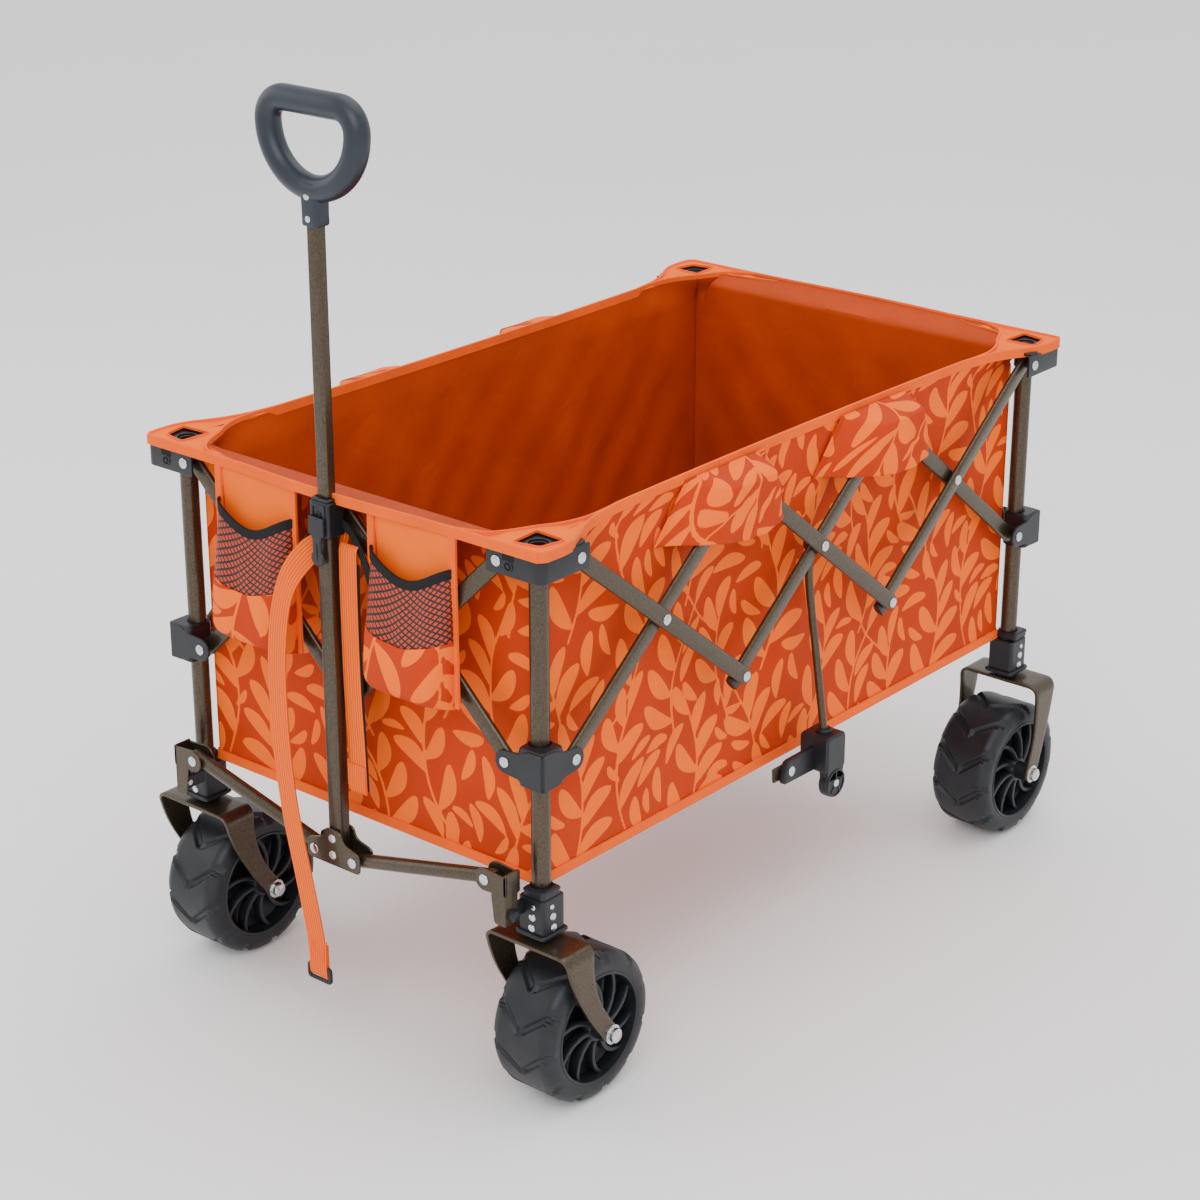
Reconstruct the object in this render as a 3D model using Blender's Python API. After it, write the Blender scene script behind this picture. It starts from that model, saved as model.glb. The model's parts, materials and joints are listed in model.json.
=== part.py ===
"""A folding garden wagon: scissor frame, fabric tub, four fat wheels and a telescopic pull handle.

Run it in Blender 4.5. Metres, +Z up, origin on the ground in the middle of the wagon, handle at -Y.
A corner's own frame has u and v pointing out of the wagon, along X and Y, from the post's axis.
A side's own frame has s along the side, w pointing out of the wagon from the posts, and z up.
"""

import math

import bmesh
import bpy
from mathutils import Matrix, Vector

# ---------------------------------------------------------------- driving sizes
POSTS_APART_X = 0.472  # post axis to post axis, across
POSTS_APART_Y = 0.830  # post axis to post axis, along
TOP_PIVOT_Z = 0.576  # rivets in the top brackets
PIVOT_DROP = 0.205  # from there down to the rivets in the sliders, when open
PIVOT_INSET = 0.026  # from a post's axis to the scissor rivets beside it
GAP = 0.0004  # between faces that would touch

POST_R = 0.0095
POST_WALL = 0.0012
POST_BOTTOM_Z = 0.212

BAR_HEIGHT = 0.018  # flat oval scissor tube
BAR_THICK = 0.007
BAR_INNER = 0.0035  # inner face of the innermost of the three layers of bars
BAR_GAP = 0.001  # between two layers
BAR_CLEAR = 0.0005  # from a bar to the bracket's wall over it
RIVET_R = 0.003
RIVET_HOLE_R = 0.0037
RIVET_HEAD_R = 0.0052
RIVET_HEAD = 0.0012

WALL = 0.0025  # of a bracket and a slider
WING = 0.012  # how far a wall runs on past its rivet
BRACKET_HALF = 0.012
BRACKET_TOP = 0.015
SLIDER_HALF = 0.020
SLEEVE = 0.0035  # plastic round a post
SLIDE_GAP = 0.0004
POST_SUNK = 0.0015  # a post's open top, below its bracket's

FOOT_SIDE = 0.0065  # plastic from a post to its foot's sides
FOOT_BOTTOM_Z = 0.1925
FOOT_TOP_Z = 0.243

WHEEL_R = 0.079
WHEEL_WIDTH = 0.076
RIM_R = 0.058
RIM_DEPTH = 0.016
HUB_R = 0.016
AXLE_R = 0.005
AXLE_GAP = 0.0004
FORK_SIDE = 0.0155  # from the tyre's side to the outer face of a fork's arm
FORK_ARM = 0.0035
FORK_PLATE_TOP_Z = 0.188
FORK_PLATE = 0.006
PLATE_FRONT, PLATE_BACK = 0.026, -0.018  # the plate's edges from the post's axis
FORK_ARM_TOP = 0.017  # half widths of an arm, at the plate and at the axle
FORK_ARM_END = 0.012
TRAIL_FRONT = 0.042  # axle behind the swivel axis
TRAIL_REAR = 0.018
STEM_R = 0.006

ROD_R = 0.0045
ROD_STRAIGHT = 0.048
HUB_OUT = 0.033  # where the hanging rod meets its bracket
HUB_TOP_Z = 0.267
HUB_BOTTOM_Z = 0.226

HANDLE_CLEAR = 0.002  # from the bars to the pole
TILT_Z = 0.222
EAR_R = 0.0072  # of the front feet's hinge ears
ARM_R = 0.0075
ARM_PIVOT_IN = 0.032  # arm's outer rivet, inboard of the post's axis
ARM_PIVOT_Z = 0.255
BASE_PIVOT_X = 0.0265
BASE_PIVOT_Z = 0.213
SHEET = 0.0024
CHEEK_HALF_GAP = 0.008
LOWER_TUBE = (0.018, 0.015)
UPPER_TUBE = (0.0153, 0.0123)
TUBE_WALL = 0.00105
LOWER_TUBE_Z = (0.204, 0.560)
UPPER_TUBE_Z = (0.490, 0.868)
COLLAR = (0.026, 0.024)
COLLAR_Z = (0.553, 0.592)
LEVER_Z = 0.5795
LEVER_PAD_DROP = 0.047
GRIP_R = 0.0125
GRIP_HALF = 0.057
GRIP_TOP_Z = 0.968
GRIP_BOTTOM_Z = 0.889
GRIP_CORNER = 0.022
NECK = (0.022, 0.020)
NECK_BOTTOM_Z = 0.855

TUB_CLEAR = 0.0015  # from the posts to the tub's walls, inboard of their axes
TUB_WALL = 0.003
TUB_BOTTOM_Z = 0.234
TUB_RIM_Z = 0.5945
TAB_THICK = 0.0028
TAB_IN = 0.058  # how far along each wall the tab's inner edge starts
POCKET_X = (0.052, 0.158)
POCKET_CLEAR = 0.002  # from the bars to the pockets
POCKET_DEEP = 0.0335
POCKET_Z = (0.411, 0.556)
STRAP_WIDTH = 0.025
STRAP_THICK = 0.002

# ---------------------------------------------------------------- what follows from them
HALF_X = POSTS_APART_X / 2
HALF_Y = POSTS_APART_Y / 2
# Inner faces of the layers of bars, outermost first.
BAR_LAYERS = tuple(BAR_INNER + layer * (BAR_THICK + BAR_GAP) for layer in (2, 1, 0))
BARS_OUT = BAR_LAYERS[0] + BAR_THICK
BRACKET_OUT = BARS_OUT + BAR_CLEAR + WALL  # outer faces of a top bracket's walls
SLIDER_OUT = BAR_LAYERS[1] + BAR_THICK + BAR_CLEAR + WALL  # outer faces of a slider's walls
FOOT_HALF = POST_R + FOOT_SIDE
FORK_HALF = WHEEL_WIDTH / 2 + FORK_SIDE  # outer face of a fork's arm
TUB_IN = POST_R + TUB_CLEAR
TAB_OUT = BRACKET_OUT - 0.0005
HANDLE_OUT = BARS_OUT + HANDLE_CLEAR + LOWER_TUBE[1] / 2  # the handle's plane, in front of the post axes
POCKET_OUT = (BARS_OUT + POCKET_CLEAR, BARS_OUT + POCKET_CLEAR + POCKET_DEEP)
STRAP_OUT = (POCKET_OUT[1] + STRAP_THICK, POCKET_OUT[1] + 2 * STRAP_THICK)
LOW_PIVOT_Z = TOP_PIVOT_Z - PIVOT_DROP
CROSS_Z = TOP_PIVOT_Z - PIVOT_DROP / 2
FRONT_REACH = HALF_Y + STRAP_OUT[1]
REAR_REACH = HALF_Y - TRAIL_REAR + WHEEL_R
MID_Y = (FRONT_REACH - REAR_REACH) / 2
FRONT_Y = MID_Y - HALF_Y - HANDLE_OUT
ARM_OUTER_X = HALF_X - ARM_PIVOT_IN

CORNERS = {
    "front_right": (1, -1),
    "front_left": (-1, -1),
    "rear_right": (1, 1),
    "rear_left": (-1, 1),
}
# Side: its frame's s and w directions, the number of crossings, and half its length between rivets.
SIDES = {
    "right": ((0, 1), (1, 0), 3, HALF_Y - PIVOT_INSET),
    "left": ((0, 1), (-1, 0), 3, HALF_Y - PIVOT_INSET),
    "front": ((-1, 0), (0, -1), 2, HALF_X - PIVOT_INSET),
    "rear": ((-1, 0), (0, 1), 2, HALF_X - PIVOT_INSET),
}
# Layers of the bars that end in each corner: (top bracket along X, along Y), (slider along X, along Y).
CORNER_LAYERS = {
    "front_right": ((0, 0), (1, 1)),
    "front_left": ((0, 1), (1, 2)),
    "rear_right": ((1, 0), (2, 1)),
    "rear_left": ((1, 1), (2, 2)),
}
# A slider rivet where the frame's loop is left open, as "x" or "y": it has no shank there.
OPEN_RIVETS = {"front_right": "y", "front_left": "x", "rear_right": "y", "rear_left": "y"}

FINISHES = {
    "bronze_frame": ((0.13, 0.105, 0.08), 0.42, 0.7),
    "black_plastic": ((0.018, 0.019, 0.022), 0.5, 0.0),
    "grip_plastic": ((0.045, 0.055, 0.075), 0.38, 0.0),
    "tyre_plastic": ((0.012, 0.012, 0.014), 0.55, 0.0),
    "orange_fabric": ((0.75, 0.2, 0.04), 0.85, 0.0),
}


# ---------------------------------------------------------------- shapes
def box(low, high):
    """A block between two corners."""
    shape = bmesh.new()
    bmesh.ops.create_cube(shape, size=1)
    low, high = Vector(low), Vector(high)
    place = Matrix.Translation((low + high) / 2) @ Matrix.Diagonal((*(high - low), 1))
    bmesh.ops.transform(shape, matrix=place, verts=shape.verts)
    return shape


def prism(outline, low, high, axis):
    """A closed outline, in the two axes other than the given one, extruded along that axis."""
    shape = bmesh.new()
    order = {"x": lambda a, b: (low, a, b), "y": lambda a, b: (a, low, b), "z": lambda a, b: (a, b, low)}
    face = shape.faces.new([shape.verts.new(order[axis](a, b)) for a, b in outline])
    grown = bmesh.ops.extrude_face_region(shape, geom=[face])
    moved = [item for item in grown["geom"] if isinstance(item, bmesh.types.BMVert)]
    step = [high - low if name == axis else 0 for name in "xyz"]
    bmesh.ops.translate(shape, vec=step, verts=moved)
    bmesh.ops.recalc_face_normals(shape, faces=shape.faces)
    return shape


def lathe(profile, start, direction, sides):
    """A profile of (distance, radius) points turned round the line from start along direction."""
    shape = bmesh.new()
    points = [shape.verts.new((radius, 0, distance)) for distance, radius in profile]
    ring = profile[0][1] > 0 and profile[-1][1] > 0
    pairs = list(zip(points, points[1:])) + ([(points[-1], points[0])] if ring else [])
    edges = [shape.edges.new(pair) for pair in pairs]
    bmesh.ops.spin(
        shape, geom=points + edges, cent=(0, 0, 0), axis=(0, 0, 1),
        angle=math.tau, steps=sides, use_merge=True,
    )
    bmesh.ops.remove_doubles(shape, verts=shape.verts, dist=1e-6)
    turn = Vector((0, 0, 1)).rotation_difference(Vector(direction)).to_matrix().to_4x4()
    bmesh.ops.transform(shape, matrix=Matrix.Translation(start) @ turn, verts=shape.verts)
    bmesh.ops.recalc_face_normals(shape, faces=shape.faces)
    return shape


def cylinder(start, end, radius, sides=12):
    """A round bar between two points."""
    span = Vector(end) - Vector(start)
    profile = [(0, 0), (0, radius), (span.length, radius), (span.length, 0)]
    return lathe(profile, start, span.normalized(), sides)


def tube_along(points, radius, sides, across, closed=False):
    """A round tube whose middle follows points in a plane; across is the plane's normal."""
    shape = bmesh.new()
    across, count = Vector(across), len(points)
    rings = []
    for index, point in enumerate(points):
        before = points[index - 1] if closed or index else point
        after = points[(index + 1) % count] if closed or index + 1 < count else point
        along = (Vector(after) - Vector(before)).normalized()
        side = along.cross(across)
        turn = [index_ * math.tau / sides for index_ in range(sides)]
        rings.append(
            [shape.verts.new(Vector(point) + radius * (side * math.cos(a) + across * math.sin(a))) for a in turn]
        )
    for one, other in zip(rings, rings[1:] + rings[:1] if closed else rings[1:]):
        for index in range(sides):
            after = (index + 1) % sides
            shape.faces.new((one[index], one[after], other[after], other[index]))
    if not closed:
        shape.faces.new(rings[0])
        shape.faces.new(rings[-1])
    bmesh.ops.recalc_face_normals(shape, faces=shape.faces)
    return shape


def arc(centre, radius, first, last, steps):
    """Points of an arc, its angles in degrees."""
    turns = [math.radians(first + (last - first) * step / steps) for step in range(steps + 1)]
    return [(centre[0] + radius * math.cos(a), centre[1] + radius * math.sin(a)) for a in turns]


def stadium(length, radius, steps=5):
    """The outline of a flat bar with round ends, from 0 to length along its first axis."""
    return arc((0, 0), radius, 90, 270, steps) + arc((length, 0), radius, -90, 90, steps)


def rectangular_tube(size, wall, low, high):
    """(outer block, inner block) of an upright rectangular tube in the handle's place."""
    x, y = size[0] / 2, size[1] / 2
    outer = box((-x, FRONT_Y - y, low), (x, FRONT_Y + y, high))
    inner = box((-x + wall, FRONT_Y - y + wall, low - GAP), (x - wall, FRONT_Y + y - wall, high + GAP))
    return outer, inner


# ---------------------------------------------------------------- objects
def finish(name):
    """The material of a finish."""
    material = bpy.data.materials.get(name)
    if material is None:
        colour, roughness, metallic = FINISHES[name]
        material = bpy.data.materials.new(name)
        material.use_nodes = True
        shader = material.node_tree.nodes["Principled BSDF"]
        shader.inputs["Base Color"].default_value = (*colour, 1)
        shader.inputs["Roughness"].default_value = roughness
        shader.inputs["Metallic"].default_value = metallic
    return material


def as_object(name, shape):
    mesh = bpy.data.meshes.new(name)
    shape.to_mesh(mesh)
    shape.free()
    item = bpy.data.objects.new(name, mesh)
    bpy.context.scene.collection.objects.link(item)
    return item


def piece(name, finish_name, add, cut=(), frame=None, origin=(0, 0, 0)):
    """One named solid: the union of the shapes in add, less those in cut, then put in its place.

    origin is a point of the wagon's frame on the piece's joint axis, and becomes the object's own origin.
    """
    item = as_object(name, add[0])
    helpers = []
    for operation, shapes in (("UNION", add[1:]), ("DIFFERENCE", cut)):
        for shape in shapes:
            helper = as_object(f"{name} helper", shape)
            helpers.append(helper)
            modifier = item.modifiers.new(operation, "BOOLEAN")
            modifier.operation = operation
            modifier.solver = "EXACT"
            modifier.object = helper
    if helpers:
        bpy.context.view_layer.update()
        evaluated = item.evaluated_get(bpy.context.evaluated_depsgraph_get())
        made = bpy.data.meshes.new_from_object(evaluated)
        item.modifiers.clear()
        item.data = made
        for helper in helpers:
            bpy.data.objects.remove(helper)
    frame = frame or Matrix()
    item.data.transform(Matrix.Translation(-Vector(origin)) @ frame)
    if frame.determinant() < 0:
        item.data.flip_normals()
    item.location = origin
    item.data.materials.clear()
    item.data.materials.append(finish(finish_name))
    item.data.shade_smooth()
    item.data.set_sharp_from_angle(angle=math.radians(35))
    return item


def corner_frame(corner):
    """Takes (u, v, z) of a corner's own frame to the wagon's frame."""
    x, y = CORNERS[corner]
    return Matrix.Translation((x * HALF_X, MID_Y + y * HALF_Y, 0)) @ Matrix.Diagonal((x, y, 1, 1))


def side_frame(side):
    """Takes (s, w, z) of a side's own frame to the wagon's frame."""
    (sx, sy), (wx, wy), _, _ = SIDES[side]
    turn = Matrix(((sx, wx, 0, 0), (sy, wy, 0, 0), (0, 0, 1, 0), (0, 0, 0, 1)))
    return Matrix.Translation((wx * HALF_X, MID_Y + wy * HALF_Y, 0)) @ turn


# ---------------------------------------------------------------- corners
def post(corner):
    low, high = POST_BOTTOM_Z, TOP_PIVOT_Z + BRACKET_TOP - POST_SUNK
    outer = cylinder((0, 0, low), (0, 0, high), POST_R, 16)
    bore = cylinder((0, 0, low - GAP), (0, 0, high + GAP), POST_R - POST_WALL, 16)
    piece(f"post_{corner}", "bronze_frame", [outer], [bore], corner_frame(corner))


def wall_rivet(wall_out, layer, along, z, shank):
    """The rivet from a bracket's wall through a bar: head, boss down to the bar, shank and end."""
    inner = BAR_LAYERS[layer]
    boss_end = inner + BAR_THICK + GAP
    profile = [(0, 0), (0, RIVET_HEAD_R), (RIVET_HEAD, RIVET_HEAD_R)]
    profile += [(RIVET_HEAD, RIVET_HEAD_R + 0.001), (wall_out + RIVET_HEAD - boss_end, RIVET_HEAD_R + 0.001)]
    if shank:
        depth = wall_out + RIVET_HEAD - inner + GAP
        end_r = RIVET_HEAD_R - GAP
        profile += [(wall_out + RIVET_HEAD - boss_end, RIVET_R), (depth, RIVET_R)]
        profile += [(depth, end_r), (depth + RIVET_HEAD, end_r), (depth + RIVET_HEAD, 0)]
    else:
        profile += [(wall_out + RIVET_HEAD - boss_end, 0)]
    start, direction = ((wall_out + RIVET_HEAD, -PIVOT_INSET, z), (-1, 0, 0))
    if along == "y":
        start, direction = ((-PIVOT_INSET, wall_out + RIVET_HEAD, z), (0, -1, 0))
    return lathe(profile, start, direction, 8)


def top_bracket(corner):
    """The plastic cap on a post, which holds one end of two scissor bars between its walls."""
    low, high = TOP_PIVOT_Z - BRACKET_HALF, TOP_PIVOT_Z + BRACKET_HALF
    top, end = TOP_PIVOT_Z + BRACKET_TOP, -PIVOT_INSET - WING
    core, out = TUB_IN - GAP, BRACKET_OUT
    layer_x, layer_y = CORNER_LAYERS[corner][0]
    add = [
        box((-core, -core, low), (out, out, top)),
        box((out - WALL, end, low), (out, 0, top)),
        box((end, out - WALL, low), (0, out, top)),
        box((0.002, end + GAP, high), (out - GAP, 0, top - GAP)),
        box((end + GAP, 0.002, high), (0, out - GAP, top - GAP)),
        wall_rivet(out, layer_x, "x", TOP_PIVOT_Z, True),
        wall_rivet(out, layer_y, "y", TOP_PIVOT_Z, True),
    ]
    cut = [
        cylinder((0, 0, low - GAP), (0, 0, top + GAP), POST_R + GAP, 16),
    ]
    piece(f"top_bracket_{corner}", "black_plastic", add, cut, corner_frame(corner))


def slider(corner):
    """The plastic sleeve that runs on a post as the wagon folds."""
    z, end, out = LOW_PIVOT_Z, -PIVOT_INSET - WING, SLIDER_OUT
    core = TUB_IN - GAP
    layer_x, layer_y = CORNER_LAYERS[corner][1]
    add = [
        box((-core, -core, z - SLIDER_HALF), (out, out, z + SLIDER_HALF)),
        box((out - WALL, end, z - BRACKET_HALF), (out - GAP, 0, z + BRACKET_HALF)),
        box((end, out - WALL, z - BRACKET_HALF), (0, out - GAP, z + BRACKET_HALF)),
        wall_rivet(out - GAP, layer_x, "x", z, OPEN_RIVETS[corner] != "x"),
        wall_rivet(out - GAP, layer_y, "y", z, OPEN_RIVETS[corner] != "y"),
    ]
    bore = cylinder((0, 0, z - SLIDER_HALF - GAP), (0, 0, z + SLIDER_HALF + GAP), POST_R + SLIDE_GAP, 16)
    frame = corner_frame(corner)
    piece(f"slider_{corner}", "black_plastic", add, [bore], frame, frame @ Vector((0, 0, z)))


def foot(corner):
    """The plastic socket under a post, with an ear for the handle's hinge on the two front ones."""
    inner, under = TUB_IN - GAP, TUB_BOTTOM_Z - GAP
    add = [box((-FOOT_HALF, -FOOT_HALF, FOOT_BOTTOM_Z), (FOOT_HALF, FOOT_HALF, under))]
    add.append(box((-inner, -inner, under - SLEEVE), (FOOT_HALF - GAP, FOOT_HALF - GAP, FOOT_TOP_Z)))
    add.append(box((-0.019, -0.019, FOOT_BOTTOM_Z - GAP), (0.019, 0.019, FOOT_BOTTOM_Z + 0.005)))
    cut = [
        cylinder((0, 0, POST_BOTTOM_Z - GAP), (0, 0, FOOT_TOP_Z + GAP), POST_R + GAP, 16),
        cylinder((0, 0, FOOT_BOTTOM_Z - GAP), (0, 0, POST_BOTTOM_Z - SLEEVE), STEM_R + GAP, 12),
    ]
    if corner.startswith("front"):
        tip = arc((HANDLE_OUT, TILT_Z), EAR_R, -90, 90, 6)
        root = [(FOOT_HALF - 0.002, TILT_Z + EAR_R), (FOOT_HALF - 0.002, TILT_Z - EAR_R)]
        add.append(prism(tip + root, -0.014, -0.008, "x"))
        cut.append(cylinder((-0.015, HANDLE_OUT, TILT_Z), (-0.007, HANDLE_OUT, TILT_Z), RIVET_HOLE_R, 10))
    piece(f"foot_{corner}", "black_plastic", add, cut, corner_frame(corner))


def fork_arm_outline(axle_v):
    """An arm's side view: wide under the plate, sweeping down and back to a round end at the axle."""
    middle = (PLATE_FRONT + PLATE_BACK) / 2
    top = FORK_PLATE_TOP_Z - FORK_PLATE / 2
    front, back = [], []
    for step in range(8):
        share = step / 7
        place = middle + (axle_v - middle) * share**2
        half = FORK_ARM_TOP + (FORK_ARM_END - FORK_ARM_TOP) * share**0.5
        z = top + (WHEEL_R - top) * share
        front.append((place + half, z))
        back.append((place - half, z))
    end = arc((axle_v, WHEEL_R), FORK_ARM_END, 0, -180, 8)[1:-1]
    return front + end + back[::-1]


def fork(corner):
    """A bent steel fork with its stem and axle bolt; the front ones swivel."""
    axle_v = -TRAIL_FRONT if corner.startswith("front") else -TRAIL_REAR
    outline = fork_arm_outline(axle_v)
    top = FORK_PLATE_TOP_Z
    head, reach = 0.0025, FORK_HALF + 0.0025
    profile = [(0, 0), (0, 0.0078), (head, 0.0078), (head, AXLE_R), (2 * reach - head, AXLE_R)]
    profile += [(2 * reach - head, 0.0078), (2 * reach, 0.0078), (2 * reach, 0)]
    add = [
        box((-FORK_HALF, PLATE_BACK, top - FORK_PLATE), (FORK_HALF, PLATE_FRONT, top)),
        prism(outline, FORK_HALF - FORK_ARM, FORK_HALF - GAP, "x"),
        prism(outline, -FORK_HALF + GAP, -FORK_HALF + FORK_ARM, "x"),
        lathe(profile, (-reach, axle_v, WHEEL_R), (1, 0, 0), 14),
        cylinder((0, 0, top - 0.001), (0, 0, POST_BOTTOM_Z - SLEEVE - 0.001), STEM_R, 12),
    ]
    frame = corner_frame(corner)
    piece(f"fork_{corner}", "bronze_frame", add, (), frame, frame @ Vector((0, 0, top)))


def wheel(corner):
    """A moulded wheel: wide tyre, sunk spoke disc and a hub that reaches the fork's arms."""
    axle_v = -TRAIL_FRONT if corner.startswith("front") else -TRAIL_REAR
    half, hub = WHEEL_WIDTH / 2, FORK_HALF - FORK_ARM - GAP
    side = [
        (AXLE_R + AXLE_GAP, hub), (HUB_R - 0.004, hub),
        (HUB_R, half - RIM_DEPTH), (RIM_R - 0.004, half - RIM_DEPTH),
        (RIM_R, half), (WHEEL_R - 0.011, half), (WHEEL_R - 0.003, half - 0.006), (WHEEL_R, half - 0.014),
    ]
    profile = [(-place, radius) for radius, place in side] + [(place, radius) for radius, place in side[::-1]]
    frame = corner_frame(corner)
    turned = lathe(profile, (0, axle_v, WHEEL_R), (1, 0, 0), 24)
    piece(f"wheel_{corner}", "tyre_plastic", [turned], (), frame, frame @ Vector((0, axle_v, WHEEL_R)))


# ---------------------------------------------------------------- scissor sides
def bar_layer(kind, number, count):
    """Rising bars are in the middle layer, falling ones outside it, and the last falling one inside it."""
    if kind == "up":
        return 1
    return 2 if number == count - 1 else 0


def bar_rivets(kind, number, count, long_side):
    """What a bar has at its start, crossing and end: ("hole",), ("rivet", innermost layer) or ("plain",)."""
    layer = bar_layer(kind, number, count)
    last = number == count - 1
    crossing_inner = 2 if last else (2 if long_side and number == 1 else 1)
    down_carries = bar_layer("down", number, count) == 0
    crossing = ("rivet", crossing_inner) if (kind == "down") == down_carries else ("hole",)
    if kind == "down":
        start = ("hole",) if number == 0 or layer == 2 else ("rivet", 1)
        end = ("hole",) if last else ("rivet", 1)
    else:
        start = ("hole",)
        after = bar_layer("down", number + 1, count) if not last else None
        end = ("rivet", 2) if after == 2 else ("hole",)
    return start, crossing, end


def bar(side, kind, number):
    """One flat oval bar of a side's scissors, with the rivets that it carries."""
    _, _, count, half = SIDES[side]
    unit = 2 * half / count
    low, high = (TOP_PIVOT_Z, LOW_PIVOT_Z) if kind == "down" else (LOW_PIVOT_Z, TOP_PIVOT_Z)
    start = Vector((-half + number * unit, 0, low))
    end = Vector((-half + (number + 1) * unit, 0, high))
    length = (end - start).length
    inner = BAR_LAYERS[bar_layer(kind, number, count)]
    outer = inner + BAR_THICK
    add = [prism(stadium(length, BAR_HEIGHT / 2), inner, outer, "y")]
    cut = []
    for place, what in zip((0, length / 2, length), bar_rivets(kind, number, count, count == 3)):
        if what[0] == "rivet":
            depth = outer - BAR_LAYERS[what[1]] + GAP + RIVET_HEAD
            end_r = RIVET_HEAD_R - GAP
            profile = [(0, 0), (0, RIVET_HEAD_R), (RIVET_HEAD, RIVET_HEAD_R), (RIVET_HEAD, RIVET_R)]
            profile += [(depth, RIVET_R), (depth, end_r), (depth + RIVET_HEAD, end_r), (depth + RIVET_HEAD, 0)]
            add.append(lathe(profile, (place, outer + RIVET_HEAD, 0), (0, -1, 0), 8))
        else:
            cut.append(cylinder((place, inner - GAP, 0), (place, outer + GAP, 0), RIVET_HOLE_R, 10))
    slope = math.atan2(end.z - start.z, end.x - start.x)
    lean = Matrix.Translation(start) @ Matrix.Rotation(-slope, 4, "Y")
    frame = side_frame(side)
    name = f"bar_{side}_{number + 1}_{kind}"
    piece(name, "bronze_frame", add, cut, frame @ lean, frame @ start)


def hanging_rod(side):
    """The rod that hangs from the middle crossing of a long side and holds the floor's hub bracket."""
    frame = side_frame(side)
    inner = BAR_LAYERS[2]
    middle = inner + BAR_THICK / 2
    knee = Vector((0, middle, CROSS_Z - ROD_STRAIGHT))
    end = Vector((0, HUB_OUT, HUB_TOP_Z - 0.007))
    add = [
        prism(arc((0, CROSS_Z), 0.008, 0, 330, 11), inner + GAP, inner + BAR_THICK - GAP, "y"),
        tube_along([(0, middle, CROSS_Z - 0.0055), knee, end], ROD_R - 0.0012, 10, (1, 0, 0)),
    ]
    hole = cylinder((0, inner - GAP, CROSS_Z), (0, inner + BAR_THICK + GAP, CROSS_Z), RIVET_HOLE_R, 10)
    origin = frame @ Vector((0, middle, CROSS_Z))
    piece(f"hanging_rod_{side}", "bronze_frame", add, [hole], frame, origin)

    along = (end - knee).normalized()
    centre_z = HUB_BOTTOM_Z - 0.014
    add = [
        box((-0.017, 0.012, HUB_BOTTOM_Z), (0.017, HUB_OUT + 0.017, HUB_TOP_Z)),
        cylinder((0, HUB_OUT + 0.004, centre_z), (0, HUB_OUT + 0.0165, centre_z), 0.0165, 16),
        box((-0.009, HUB_OUT + 0.0045, centre_z), (0.009, HUB_OUT + 0.016, HUB_BOTTOM_Z + GAP)),
        prism(stadium(0.057, 0.0135), HUB_OUT - 0.009, HUB_OUT + 0.001, "y"),
    ]
    lug_place = Matrix.Translation((-0.057, 0, (HUB_TOP_Z + HUB_BOTTOM_Z) / 2 - 0.006))
    bmesh.ops.transform(add[3], matrix=lug_place, verts=add[3].verts)
    socket = cylinder(end - along * (GAP * 2 + 0.001), end - along * 0.03, ROD_R, 12)
    socket_bottom = cylinder(end + along * GAP * 2, end - along * 0.02, ROD_R, 12)
    piece(f"hub_bracket_{side}", "black_plastic", add, [socket, socket_bottom], frame, origin)


# ---------------------------------------------------------------- handle
def pin_along_y(x, z):
    """A rivet through both cheeks of the handle's brackets, with a head on each."""
    half = CHEEK_HALF_GAP + SHEET
    profile = [(0, 0), (0, RIVET_HEAD_R), (RIVET_HEAD, RIVET_HEAD_R), (RIVET_HEAD, RIVET_R)]
    profile += [(RIVET_HEAD + 2 * half, RIVET_R), (RIVET_HEAD + 2 * half, RIVET_HEAD_R)]
    profile += [(2 * (RIVET_HEAD + half), RIVET_HEAD_R), (2 * (RIVET_HEAD + half), 0)]
    return lathe(profile, (x, FRONT_Y - half - RIVET_HEAD, z), (0, 1, 0), 10)


def cheeks(outline):
    """Two sheet cheeks of one outline in (x, z), one on each side of the handle's plane."""
    front = FRONT_Y - CHEEK_HALF_GAP
    back = FRONT_Y + CHEEK_HALF_GAP
    return [prism(outline, front - SHEET, front, "y"), prism(outline, back, back + SHEET, "y")]


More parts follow.
